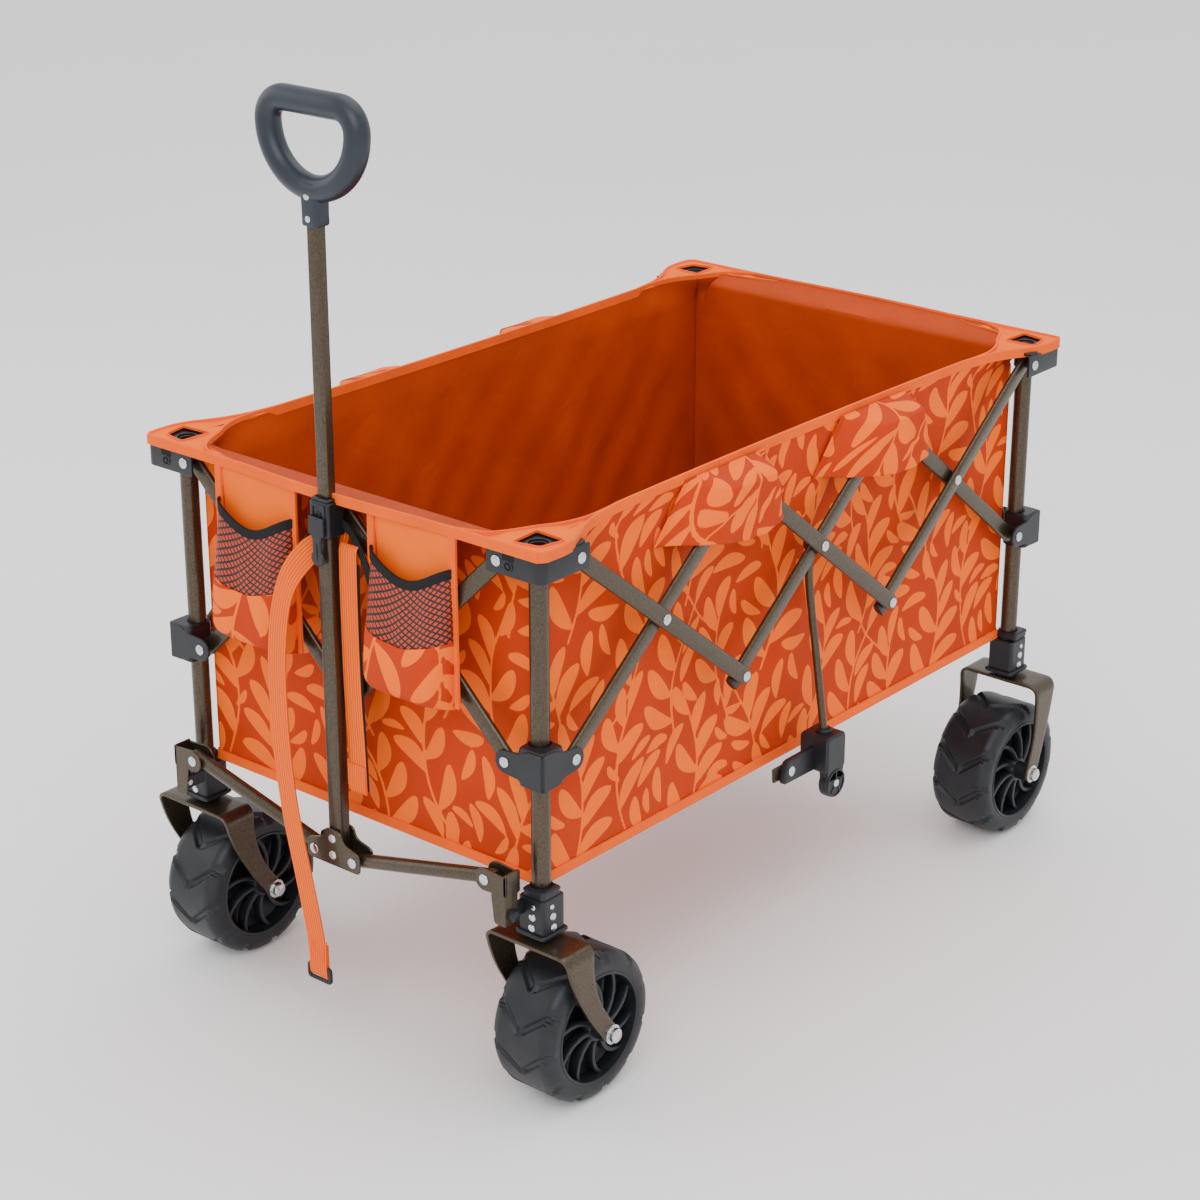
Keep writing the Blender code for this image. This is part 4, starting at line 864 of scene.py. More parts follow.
def make_hangers():
    """The rod from each side's middle crossing, with the hub bracket at its foot and a roller."""
    for side in ("right", "left"):
        low, high = (np.array(each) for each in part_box(f"hub_bracket_{side}"))
        middle = layer_middle(2)
        hub_w, top = 0.033, high[2]
        path = [(0, middle, CROSS_Z), (0, middle, CROSS_Z - 0.02), (0, middle + 0.0012, CROSS_Z - 0.05)]
        path += [(0, middle + 0.012, CROSS_Z - 0.12), (0, hub_w, top - 0.005)]
        rod = sweep(smooth_path(path, 8), circle(0.0042, steps=20), up=(1, 0, 0))
        eye = plate(circle(0.0088, (0, CROSS_Z), 28), middle - 0.003, middle + 0.003, "y", 0.001)
        rod = moved(rod, lambda p, s=side: from_side(s, p))
        eye = moved(eye, lambda p, s=side: from_side(s, p))
        new_piece(f"drop_rod_{side}", [(rod, "bronze"), (eye, "bronze")], f"hanger_{side}", f"hanging_rod_{side}")

        block_low = 0.226
        block = plate(round_rectangle(0.034, 0.041, 0.005, 4, (0, (top + block_low) / 2)), 0.013, 0.050, "y", 0.0025)
        lug_z = (top + block_low) / 2 - 0.006
        lug = plate(rounded([(-0.0700, lug_z - 0.012), (0.0, lug_z - 0.0135), (0.0, lug_z + 0.0135), (-0.0640, lug_z + 0.0135)], 0.006), 0.0245, 0.0335, "y", 0.002)
        collar_ring = plate(circle(0.0085, (0, hub_w), 28), top - 0.002, top + 0.004, "z", 0.0012)
        roller_z = block_low - 0.014
        roller = plate(circle(0.0162, (0, roller_z), 36), 0.0375, 0.0495, "y", 0.002)
        yoke = plate(rounded([(-0.0125, roller_z + 0.004), (0.0125, roller_z + 0.004), (0.015, block_low + 0.004), (-0.015, block_low + 0.004)], 0.003), 0.0375, 0.0495, "y", 0.001)
        parts = [(block, "nylon"), (lug, "nylon"), (collar_ring, "nylon"), (roller, "nylon"), (yoke, "nylon")]
        for turn in range(5):
            angle = math.tau * turn / 5 + 0.3
            way = np.array([math.cos(angle), 0, math.sin(angle)])
            start = np.array([0, 0.0497, roller_z]) + way * 0.004
            parts.append((sweep([start, start + way * 0.0095], round_rectangle(0.002, 0.0018, 0.0005, 2), up=(0, 1, 0)), "nylon"))
        rim = sweep(np.column_stack([0.0145 * np.cos(np.linspace(0, math.tau, 33)[:-1]), np.full(32, 0.0497), roller_z + 0.0145 * np.sin(np.linspace(0, math.tau, 33)[:-1])]), round_rectangle(0.002, 0.0018, 0.0005, 2), up=(0, 1, 0), closed=True)
        parts += [(rim, "nylon"), (dome((0, 0.0502, roller_z), (0, 1, 0), 0.0042, 0.0014), "zinc")]
        parts.append((dome((-0.057, 0.0334, lug_z + 0.001), (0, 1, 0), 0.0056, 0.002), "zinc"))
        strut = sweep([(-0.052, 0.0235, lug_z - 0.001), (-0.0745, 0.0225, lug_z - 0.002)], round_rectangle(0.004, 0.016, 0.0015, 3), up=(0, 0, 1))
        parts.append((strut, "bronze"))
        parts = [(moved(shape, lambda p, s=side: from_side(s, p)), name) for shape, name in parts]
        new_piece(f"floor_hub_{side}", parts, f"hanger_{side}", f"hub_bracket_{side}")


# ---------------------------------------------------------------- handle
def make_grip():
    """A D-shaped loop with a waisted neck: x = a sin t, z = waist - b cos t below, quarter rounds above."""
    low, high = (np.array(each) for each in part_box("grip"))
    radius = (high[1] - low[1]) / 2
    half, top = (high[0] - low[0]) / 2 - radius, high[2] - radius
    corner, bottom = 0.022, 0.889
    waist = top - corner
    t = np.linspace(-math.pi / 2, math.pi / 2, 41)
    lower = np.column_stack([half * np.sin(t), waist - (waist - bottom) * np.cos(t)])
    right = arc((half - corner, waist), corner, 0, 90, 10)[1:]
    bar = np.column_stack([np.linspace(half - corner, corner - half, 8)[1:-1], np.full(6, top)])
    left = arc((corner - half, waist), corner, 90, 180, 10)[:-1]
    plan = np.concatenate([lower, right, bar, left])
    path = np.column_stack([plan[:, 0], np.full(len(plan), HANDLE_Y), plan[:, 1]])
    loop = sweep(path, circle(radius, steps=28), up=(0, 1, 0), closed=True)
    heights = np.array([low[2], low[2] + 0.0015, 0.868, 0.880, 0.888, 0.896])
    scale = np.array([0.93, 1, 1, 1.03, 1.12, 1.2])
    neck_path = np.column_stack([np.zeros(6), np.full(6, HANDLE_Y), heights])
    neck = sweep(neck_path, round_rectangle(0.0218, 0.0196, 0.005, 5), up=(0, 1, 0), scale=scale)
    parts = [(loop, "grip"), (neck, "grip")]
    for z, size in ((0.8835, 0.0036), (0.862, 0.0032)):
        parts.append((dome((0, HANDLE_Y - 0.0098 * (1.08 if z > 0.88 else 1), z), (0, -1, 0), size, 0.0014), "zinc"))
    new_piece("grip_loop", parts, "handle_top", "grip", sharp=50)


def upright(node, radius, name, body, extra=()):
    """A rectangular tube with round corners in a node's own box."""
    low, high = (np.array(each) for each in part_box(node))
    size = high - low
    centre = ((low + high) / 2)[:2]
    path = [(centre[0], centre[1], low[2]), (centre[0], centre[1], (low[2] + high[2]) / 2), (centre[0], centre[1], high[2])]
    tube = sweep(path, round_rectangle(size[0], size[1], radius, 6), up=(0, 1, 0), bevel=0.0008)
    new_piece(name, [(tube, "bronze"), *extra], body, node)


def make_pole():
    """Two telescoping tubes with round corners and the collar that joins them."""
    upright("pole_upper_tube", 0.003, "upper_pole", "handle_top")
    upright("pole_lower_tube", 0.0035, "lower_pole", "handle_base")
    low, high = (np.array(each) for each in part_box("pole_collar"))
    size = high - low
    outline = round_rectangle(size[0], size[1], 0.0035, 4, (0, HANDLE_Y))
    turns = np.linspace(-math.pi, math.pi, 97)[:-1]
    outer = rays(outline, (0, HANDLE_Y), turns)
    inner = rays(round_rectangle(0.0185, 0.0155, 0.0025, 4, (0, HANDLE_Y)), (0, HANDLE_Y), turns)
    body = plate(outer, low[2], high[2] - 0.0035, "z", 0.0012, inner)
    mouth = rays(round_rectangle(0.0162, 0.0132, 0.0025, 4, (0, HANDLE_Y)), (0, HANDLE_Y), turns)
    cap_outer = rays(round_rectangle(size[0] * 0.9, size[1] * 0.9, 0.003, 4, (0, HANDLE_Y)), (0, HANDLE_Y), turns)
    cap = plate(cap_outer, high[2] - 0.004, high[2], "z", 0.0014, mouth)
    face = low[1]
    parts = [(body, "nylon"), (cap, "nylon")]
    rim = round_rectangle(0.0185, 0.026, 0.002, 4, (0, high[2] - 0.018))
    hole = round_rectangle(0.0125, 0.0205, 0.0015, 4, (0, high[2] - 0.018))
    parts.append((plate(rim, face - 0.0013, face + 0.001, "y", 0.0005, hole), "nylon"))
    window = round_rectangle(0.0066, 0.0072, 0.0008, 4, (0, high[2] - 0.0165))
    light = round_rectangle(0.0040, 0.0046, 0.0006, 4, (0, high[2] - 0.0165))
    parts.append((plate(window, face - 0.0009, face + 0.001, "y", 0.0003, light), "nylon"))
    parts.append((plate(light, face - 0.0002, face + 0.001, "y", 0.0001), "black_tape"))
    new_piece("telescope_collar", parts, "handle_base", "pole_collar")


def make_lever():
    """The thumb lever: shoulders, a waist and a round pad with a raised rim and a smooth thumb ridge."""
    low, high = (np.array(each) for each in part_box("pole_lever"))
    pivot_z = high[2] - 0.0015
    pad_z = low[2] + 0.0085
    right = [(0.0105, pivot_z - 0.016), (0.0058, pivot_z - 0.029)]
    pad = arc((0, pad_z), 0.0085, 47, -227, 24)
    left = [(-0.0058, pivot_z - 0.029), (-0.0105, pivot_z - 0.016)]
    outline = np.concatenate([right, pad, left])
    body = plate(outline, low[1] + 0.0002, high[1], "y", 0.0013)
    shoulders = plate(round_rectangle(0.0205, 0.0190, 0.002, 4, (0, pivot_z - 0.0145)), low[1] - 0.0002, high[1] - 0.0004, "y", 0.0009)
    ridge = sweep([(0, low[1] + 0.0006, pad_z + 0.015), (0, low[1] + 0.0001, pad_z + 0.006), (0, low[1] + 0.0006, pad_z - 0.002)], circle(0.0012, steps=10), up=(1, 0, 0))
    new_piece("thumb_lever", [(body, "nylon"), (shoulders, "nylon"), (ridge, "nylon")], "handle_lever", "pole_lever")


def make_handle_base():
    """Two pressed plates and their rivets under the pole, the round arms, and the tilting clevises."""
    base = JOINTS["fold_base"]["pos_m"]
    pivot_x, pivot_z = base[0], base[2]
    half, low, high = pivot_x + 0.0105, pivot_z - 0.011, pivot_z + 0.013
    corners = [(-half, low), (half, low), (half, high - 0.002), (0.014, high + 0.004), (0.0115, high + 0.016)]
    corners += [(-0.0115, high + 0.016), (-0.014, high + 0.004), (-half, high - 0.002)]
    outline = rounded(corners, 0.007, 5)
    inner, outer = 0.008, 0.0104
    parts = []
    for hand in (-1, 1):
        levels = sorted((HANDLE_Y + hand * inner, HANDLE_Y + hand * outer))
        parts.append((plate(outline, *levels, "y", 0.0007), "bronze"))
        for x, z, radius in ((-pivot_x, pivot_z, 0.0056), (pivot_x, pivot_z, 0.0056), (0, pivot_z + 0.001, 0.0046), (0, pivot_z + 0.019, 0.0046)):
            parts.append((dome((x, HANDLE_Y + hand * outer, z), (0, hand, 0), radius, 0.002), "zinc"))
    new_piece("pole_foot_plates", parts, "handle_base", "handle_base_bracket")
    for hand, name in ((1, "right"), (-1, "left")):
        clevis_pivot = np.array(JOINTS["fold_arm_right"]["pos_m"]) * (hand, 1, 1)
        outer_end, inner_end = clevis_pivot, np.array((hand * pivot_x, HANDLE_Y, pivot_z))
        along = unit(inner_end - outer_end)
        path = [outer_end - along * 0.0085, (outer_end + inner_end) / 2, inner_end + along * 0.0085]
        arm = sweep(path, circle(0.0074, steps=28), up=(0, 1, 0), bevel=0.002)
        new_piece(f"pull_arm_{name}", [(arm, "bronze")], f"handle_arm_{name}", f"handle_arm_{name}")
        make_clevis(name, hand, clevis_pivot)


def make_clevis(name, hand, pivot):
    """Pressed sheet round an arm's outer end: two cheeks, a web and a tongue down to the hinge pin."""
    tilt_z = JOINTS["handle_tilt"]["pos_m"][2]
    post_x = POST["front_right"][0]
    web_x = post_x - 0.0053
    px, pz = abs(pivot[0]), pivot[2]
    cheek = np.concatenate([arc((px, pz), 0.012, 90, 270, 10), rounded([(web_x, pz - 0.012), (web_x, pz + 0.012)], 0.002)[:: 1]])
    tongue = rounded([(px + 0.008, pz - 0.010), (px + 0.012, tilt_z - 0.010), (web_x, tilt_z - 0.010), (web_x, pz)], 0.004)
    parts = []
    for side in (-1, 1):
        levels = sorted((HANDLE_Y + side * 0.008, HANDLE_Y + side * 0.0104))
        parts.append((plate(cheek, *levels, "y", 0.0006), "bronze"))
        parts.append((dome((px, HANDLE_Y + side * 0.0104, pz), (0, side, 0), 0.0056, 0.002), "zinc"))
    parts.append((plate(tongue, HANDLE_Y - 0.0103, HANDLE_Y - 0.0081, "y", 0.0006), "bronze"))
    web = [(HANDLE_Y - 0.0104, tilt_z - 0.010), (HANDLE_Y + 0.0075, tilt_z - 0.010), (HANDLE_Y + 0.0080, pz - 0.012)]
    web += [(HANDLE_Y + 0.0104, pz - 0.012), (HANDLE_Y + 0.0104, pz + 0.012), (HANDLE_Y - 0.0104, pz + 0.012)]
    parts.append((plate(rounded(web, 0.002), web_x - 0.0024, web_x + 0.0001, "x", 0.0006), "bronze"))
    knob = [(0, 0.0), (0, 0.0062), (0.0052, 0.0058), (0.0062, 0.0046), (0.0062, 0.0)]
    parts.append((turned([(-0.0005, 0.0), (-0.0005, 0.0068), *knob[2:]], (web_x, HANDLE_Y, tilt_z), (1, 0, 0), 28), "nylon"))
    pin = turned([(0, 0.003), (0.009, 0.003)], (web_x - 0.001, HANDLE_Y, tilt_z), (-1, 0, 0), 20)
    parts.append((pin, "zinc"))
    parts = [(moved(shape, lambda p, h=hand: p * (h, 1, 1)), finish_name) for shape, finish_name in parts]
    new_piece(f"arm_clevis_{name}", parts, f"handle_clevis_{name}", f"handle_clevis_{name}")


# ---------------------------------------------------------------- fabric
LEAF_TILE = (0.246, 0.204)
# A sprig's foot in the repeat, its heading in degrees, its length and how far it curls, in radians.
SPRIGS = (
    (0.020, 0.008, 66, 0.112, 0.9),
    (0.088, 0.030, 112, 0.106, -1.0),
    (0.160, -0.004, 60, 0.112, 1.1),
    (0.226, 0.072, 116, 0.104, -0.8),
    (0.070, 0.130, 44, 0.108, 1.1),
    (0.150, 0.092, 98, 0.112, -1.0),
    (0.200, 0.170, 140, 0.098, -0.8),
    (0.016, 0.118, 96, 0.094, 0.6),
)
PRINT_LAYOUT = {}


def leaf_outline(length, width, share):
    """A leaf's bend off its line and its half width at a share t: 0.09 L sin(pi t), and 2.6 W t^0.8 (1 - t)^0.6."""
    return 0.09 * length * np.sin(share * math.pi), 2.6 * width * share**0.8 * (1 - share) ** 0.6


def leaf_disks(x, y, turn, length, width):
    """Disks that fill a leaf, as (x, y, radius), to test whether it is clear of the others."""
    share = np.linspace(0.14, 0.96, 9)
    bend, radius = leaf_outline(length, width, share)
    a = share * length
    return np.column_stack(
        [x + a * math.cos(turn) - bend * math.sin(turn), y + a * math.sin(turn) + bend * math.cos(turn), radius * 0.92]
    )


def print_layout():
    """The repeat's leaves and stem runs, as rows of (x, y, turn, length, half width).

    Leaves grow by turns from each side of a sprig's curling stem, and then a spread of single leaves fills what is
    left. A leaf is laid only where its disks clear those of every leaf laid before it.
    """
    wide, tall = LEAF_TILE
    shifts = np.array([(i * wide, j * tall + (i % 2) * tall / 2) for i in (-1, 0, 1) for j in (-2, -1, 0, 1, 2)])
    placed, leaves, stems = np.zeros((0, 3)), [], []
    candidates = []
    for x, y, heading, length, curl in SPRIGS:
        turn = math.radians(heading) + curl * np.linspace(0, 1, 11) ** 1.3
        step = length / 10
        stem_x = x + np.concatenate([[0], np.cumsum(np.cos(turn[:-1]) * step)])
        stem_y = y + np.concatenate([[0], np.cumsum(np.sin(turn[:-1]) * step)])
        stems += [(stem_x[k], stem_y[k], turn[k], step * 1.3, 0.0012) for k in range(10)]
        candidates.append((stem_x[10], stem_y[10], turn[10], 0.036, 0.0062))
        for k in range(1, 10):
            way = turn[k] + (0.95 - 0.04 * k) * (1 if k % 2 else -1)
            candidates.append((stem_x[k], stem_y[k], way, 0.050 - 0.0017 * k, 0.0080 - 0.0001 * k))
    for number in range(900):
        x, y = (0.5 + number * 0.7548776662) % 1 * wide, (0.5 + number * 0.5698402910) % 1 * tall
        length = 0.038 - 0.000019 * number
        candidates.append((x, y, 1.6 + 1.5 * math.sin(number * 2.4), length, length * 0.16))
    for leaf in candidates:
        disks = leaf_disks(*leaf)
        away = placed[None, :, None, :2] + shifts[None, None] - disks[:, None, None, :2]
        room = np.linalg.norm(away, axis=-1) - placed[None, :, None, 2] - disks[:, None, None, 2]
        if not len(placed) or room.min() > sizes().leaf_gap / sizes().leaf_scale:
            placed = np.concatenate([placed, disks])
            leaves.append(leaf)
    return leaves, stems


def stroke_depth(places, x, y, turn, length, width, pointed):
    """Depth inside one leaf or, where it isn't pointed, inside one straight run of stem."""
    away = places - (x, y)
    near = (np.abs(away) < length + 0.004).all(1)
    depth = np.full(len(places), -1.0)
    a = away[near, 0] * math.cos(turn) + away[near, 1] * math.sin(turn)
    b = away[near, 1] * math.cos(turn) - away[near, 0] * math.sin(turn)
    bend, half = leaf_outline(length, width, np.clip(a / length, 0, 1)) if pointed else (0.0, width)
    depth[near] = half - np.abs(b - bend) - np.maximum(np.maximum(-a, a - length), 0)
    return depth


def leaf_print(places):
    """Distance in metres into the leaves of a repeating print, negative on its ground, for (a, b) places.

    The repeat drops by half a tile in every other column.
    """
    wide, tall = LEAF_TILE
    if not PRINT_LAYOUT:
        PRINT_LAYOUT["leaves"], PRINT_LAYOUT["stems"] = print_layout()
    places = places / sizes().leaf_scale
    column = np.floor(places[:, 0] / wide)
    base = np.column_stack([places[:, 0] - column * wide, (places[:, 1] + (column % 2) * tall / 2) % tall])
    depth = np.full(len(places), -1.0)
    for shift in [(i * wide, j * tall + (i % 2) * tall / 2) for i in (-1, 0, 1) for j in (-1, 0, 1)]:
        for kind, pointed in (("leaves", True), ("stems", False)):
            for stroke in PRINT_LAYOUT[kind]:
                depth = np.maximum(depth, stroke_depth(base - shift, *stroke, pointed))
    return depth * sizes().leaf_scale


def corner_outer():
    """A corner's outer edge of fabric, in its own (u, v): along the short side, round, along the long."""
    short_side = [(-0.120, 0.0300), (-0.080, 0.0298), (-0.045, 0.0295)]
    bend = arc((0.0195, 0.0195), 0.010, 90, 0, 5)
    long_side = [(0.0295, -0.005), (0.024, -0.026), (0.011, -0.050), (0.001, -0.078), (-0.006, -0.120)]
    return np.concatenate([short_side, bend, long_side])


def corner_inner():
    """The inner edge: it leaves the short side's rim, cuts across behind the post and joins the long side's."""
    points = [(-0.120, 0.0300), (-0.096, 0.0302), (-0.070, 0.0280), (-0.047, 0.0175), (-0.034, 0.0), (-0.023, -0.023)]
    points += [(-0.012, -0.042), (-0.0045, -0.066), (-0.0035, -0.092), (-0.006, -0.120)]
    return smooth_path(points, 5)


def rim_place(side, share):
    """Where a side's rim stands out from the posts, at a share of -1 to 1 of its half length.

    Over the corners it follows the corner's inner edge; between them it bows between the corners' ends.
    """
    half = SIDES[side][3]
    inner = corner_inner()
    along, out = (inner[:, 0], inner[:, 1]) if side in ("front", "rear") else (inner[::-1, 1], inner[::-1, 0])
    order = np.argsort(along)
    past = half * np.abs(share) - half
    middle = out[order][0]
    bow = {"front": 0.005, "rear": 0.003, "right": -0.004, "left": -0.004}[side]
    reach = 1 - (half * share / (half - 0.120)) ** 2
    return np.where(past > -0.120, np.interp(past, along[order], out[order]), middle + bow * np.clip(reach, 0, 1))


def wall_grid(side, rows, columns):
    """A side wall: s across, z up. Its width from the posts goes from the wall plane to the rim over the last rows.

    w(s, z) = wall + slack bulges, and blends to rim(s) by a smooth step whose height depends on the way it goes.
    """
    half = SIDES[side][3]
    share = np.linspace(-1, 1, columns)
    top_s = share * (half - 0.0225)
    low_s = share * (half + WALL_W)
    t = np.linspace(0, 1, rows) ** 0.9
    z = TUB_LOW_Z + (RIM_Z - 0.0015 - TUB_LOW_Z) * t
    rim = rim_place(side, np.clip(top_s / half, -1, 1))
    start = np.where(np.abs(top_s) > half - 0.026, 0.92, np.where(rim > 0.005, 0.970, 0.90))
    rise = np.clip((t[:, None] - start[None]) / (1 - start[None]), 0, 1)
    rise = rise * rise * (3 - 2 * rise)
    turn_in = np.clip((t - 0.92) / 0.08, 0, 1)
    turn_in = (turn_in**2 * (3 - 2 * turn_in))[:, None]
    s = low_s[None] + (top_s - low_s)[None] * turn_in
    up = math.pi * np.clip(t[:, None] * 1.02, 0, 1)
    drape = 0.0036 * np.sin(s * 23 + 1.3) + 0.0022 * np.sin(s * 47 + z[:, None] * 24) + 0.0012 * np.sin(s * 83 - z[:, None] * 61)
    drape = drape * np.sin(up) * (1 - share[None] ** 8)
    w = WALL_W + 0.0008 + np.minimum(drape, 0.0048) + (rim[None] - WALL_W) * rise
    return np.stack(np.broadcast_arrays(s, w, z[:, None]), -1)


def cloth_values(grid):
    """The cloth's own flat coordinates, in metres, from running lengths along its rows and columns."""
    def running(points, axis):
        step = np.linalg.norm(np.diff(points, axis=axis), axis=-1)
        total = np.cumsum(step, axis=axis)
        pad = [(0, 0), (0, 0)]
        pad[axis] = (1, 0)
        return np.pad(total, pad)

    a, b = running(grid, 1), running(grid, 0)
    return np.stack([a - a.mean(), b, np.zeros_like(a)], -1).reshape(-1, 3)


def crumple(item):
    """Follows the fold: the side's fabric crumples along its length towards its own corner."""
    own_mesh(item)


def ribbon(path, across, half, thick):
    """A flat strip of tape: a grid across it at each point of its path, with both faces and both edges.

    point(i, j) = path_i + half a_j across_i + thick b_j normal_i, over a slim round-edged section.
    """
    path, across = np.asarray(path, float), unit(np.asarray(across, float))
    across = np.broadcast_to(across, path.shape)
    along = unit(np.gradient(path, axis=0))
    normal = unit(np.cross(along, across))
    across = np.cross(normal, along)
    section = np.concatenate([[(x, 0.5) for x in np.linspace(0.97, -0.97, 7)], [(-1, 0)], [(x, -0.5) for x in np.linspace(-0.97, 0.97, 7)], [(1, 0)]])
    a, b = section[:, 0][None, :, None] * half, section[:, 1][None, :, None] * thick
    points = path[:, None] + across[:, None] * a + normal[:, None] * b
    length = np.concatenate([[0], np.cumsum(np.linalg.norm(np.diff(path, axis=0), axis=1))])
    cloth = np.stack(np.broadcast_arrays(section[None, :, 0] * half, length[:, None], 0.0 * length[:, None]), -1)
    return grid_shape(points, round_columns=True, caps=True), cloth.reshape(-1, 3)


def soft_piece(name, parts, body, thick=0.0, outward=None, **more):
    """A fabric piece from (shape, finish, cloth values) triples."""
    cloth = np.concatenate([values for _, _, values in parts])
    attributes = {"cloth": ("FLOAT_VECTOR", cloth), **more.pop("attributes", {})}
    return new_piece(name, [(shape, finish_name) for shape, finish_name, _ in parts], body, more.pop("cad", ()), outward, thick, 60, attributes)


def make_walls():
    """Four printed walls with a plain lining, each hung between its two corners, with a tape along its foot."""
    for side, (_, _, _, half, _) in SIDES.items():
        columns = 361 if side in ("right", "left") else 205
        grid = wall_grid(side, 131, columns)
        cloth = cloth_values(grid)
        shift = {"right": 0.0, "left": 0.31, "front": 0.13, "rear": 0.53}[side]
        depth = leaf_print(cloth[:, :2] + (5.0 + shift, 5.0))
        shape = moved(grid_shape(grid), lambda p, s=side: from_side(s, p))
        out = from_side(side, (0, 1, 0)) - from_side(side, (0, 0, 0))
        body = SIDE_BODY[side][0]
        mesh_finishes = [(shape, "print", cloth)]
        item = soft_piece(f"wall_{side}", mesh_finishes, body, 0.0, out, attributes={"print": ("FLOAT", depth)}, cad="fabric_tub")
        item.data.materials.append(finish("lining"))
        solid = item.modifiers.new("thickness", "SOLIDIFY")
        solid.thickness, solid.offset, solid.material_offset, solid.material_offset_rim = sizes().wall_cloth, -1, 1, 1
        crumple(item)

        foot = np.linspace(-1, 1, 60)[:, None] * (half + WALL_W)
        path = from_side(side, np.column_stack([foot[:, 0], np.full(60, WALL_W + 0.0022), np.full(60, TUB_LOW_Z + 0.0045)]))
        tape, tape_cloth = ribbon(path, (0, 0, 1), 0.0055, 0.0022)
        hem = soft_piece(f"foot_tape_{side}", [(tape, "tape", tape_cloth)], body)
        crumple(hem)


def make_floor_cloth():
    """The tub's floor in two lengths, which slide over each other as the frame folds."""
    x, y = HALF_X + WALL_W - 0.002, HALF_Y + WALL_W - 0.002
    for name, first, last, lift, side in (("front", -y, 0.004, 0.0, "front"), ("rear", -0.004, y, 0.0014, "rear")):
        a, b = np.meshgrid(np.linspace(-x, x, 60), np.linspace(first, last, 60))
        sag = 0.0015 * np.sin(a * 23) * np.sin(b * 19 + 0.4)
        seam = -0.0016 * np.exp(-((np.abs(b) - 0.135) / 0.003) ** 2) - 0.0016 * np.exp(-((np.abs(a) - 0.195) / 0.003) ** 2)
        grid = np.stack([a, b + MID_Y, TUB_LOW_Z + 0.0045 + sag + seam + lift], -1)
        cloth = cloth_values(grid)
        item = soft_piece(f"tub_floor_{name}", [(grid_shape(grid), "lining", cloth)], SIDE_BODY[side][0], 0.0014, (0, 0, 1))
        crumple(item)


def make_corner_tabs():
    """Reinforced tabs over the brackets: the cloth between the inner and outer edges, open over the post."""
    outer, inner = smooth_path(corner_outer(), 6), corner_inner()
    window = rounded([(-0.0165, -0.0165), (0.0205, -0.0140), (0.0145, 0.0145), (-0.0140, 0.0205)], 0.004, 6)
    centre = np.array((0.001, 0.001))
    loop = np.concatenate([outer, inner[::-1]])
    turns = np.unique(np.round(np.concatenate([np.arctan2(*(loop - centre).T[::-1]), np.linspace(-math.pi, math.pi, 200)[:-1]]), 5))
    edge, hole = rays(loop, centre, turns), rays(window, centre, turns)
    share = np.linspace(0, 1, 14)[:, None, None]
    flat = edge[None] + (hole - edge)[None] * share
    away = np.linalg.norm(flat, axis=-1)
    sag = 0.0016 * np.sin(share[..., 0] * math.pi) + 0.0008 * np.sin(away * 160)
    lift = np.where(away > 0.040, np.clip((away - 0.040) / 0.05, 0, 1) * 0.0012, 0.0)
    grid = np.concatenate([flat, (RIM_Z - 0.0005 - sag * np.clip((0.12 - away) / 0.03, 0, 1) - lift)[..., None]], -1)
    a = grid.reshape(-1, 3) * (1, 1, 0)
    for corner in CORNERS:
        body = f"frame_{corner}"
        shape = moved(grid_shape(grid, round_columns=True), lambda p, c=corner: from_corner(c, p))
        item = soft_piece(f"corner_tab_{corner}", [(shape, "plain", a)], body, 0.0012, (0, 0, 1))
        ring = []
        outer_path = np.column_stack([outer, np.full(len(outer), RIM_Z - 0.0035)])
        tape, cloth = ribbon(from_corner(corner, outer_path), (0, 0, 1), sizes().binding_width / 2, 0.0030)
        ring.append((tape, "tape", cloth))
        inner_path = np.column_stack([inner, np.full(len(inner), RIM_Z - 0.0012)])
        tape, cloth = ribbon(from_corner(corner, inner_path), (0, 0, 1), 0.0028, 0.0026)
        ring.append((tape, "tape", cloth))
        hem = np.append(window, window[:1], 0)
        hem_path = np.column_stack([hem, np.full(len(hem), RIM_Z - 0.0004)])
        tape, cloth = ribbon(from_corner(corner, hem_path), (0, 0, 1), 0.0012, 0.0016)
        ring.append((tape, "tape", cloth))
        soft_piece(f"corner_binding_{corner}", ring, body)


def make_rims():
    """Binding tape along the top edge of each side, between its corner tabs."""
    for side, (_, _, _, half, _) in SIDES.items():
        share = np.linspace(-1, 1, 80) * (half - 0.1195) / half
        out = rim_place(side, share)
        path = from_side(side, np.column_stack([share * half, out, np.full(80, RIM_Z - 0.0035)]))
        tape, cloth = ribbon(path, (0, 0, 1), sizes().binding_width / 2, 0.0030)
        item = soft_piece(f"rim_tape_{side}", [(tape, "tape", cloth)], SIDE_BODY[side][0])
        crumple(item)


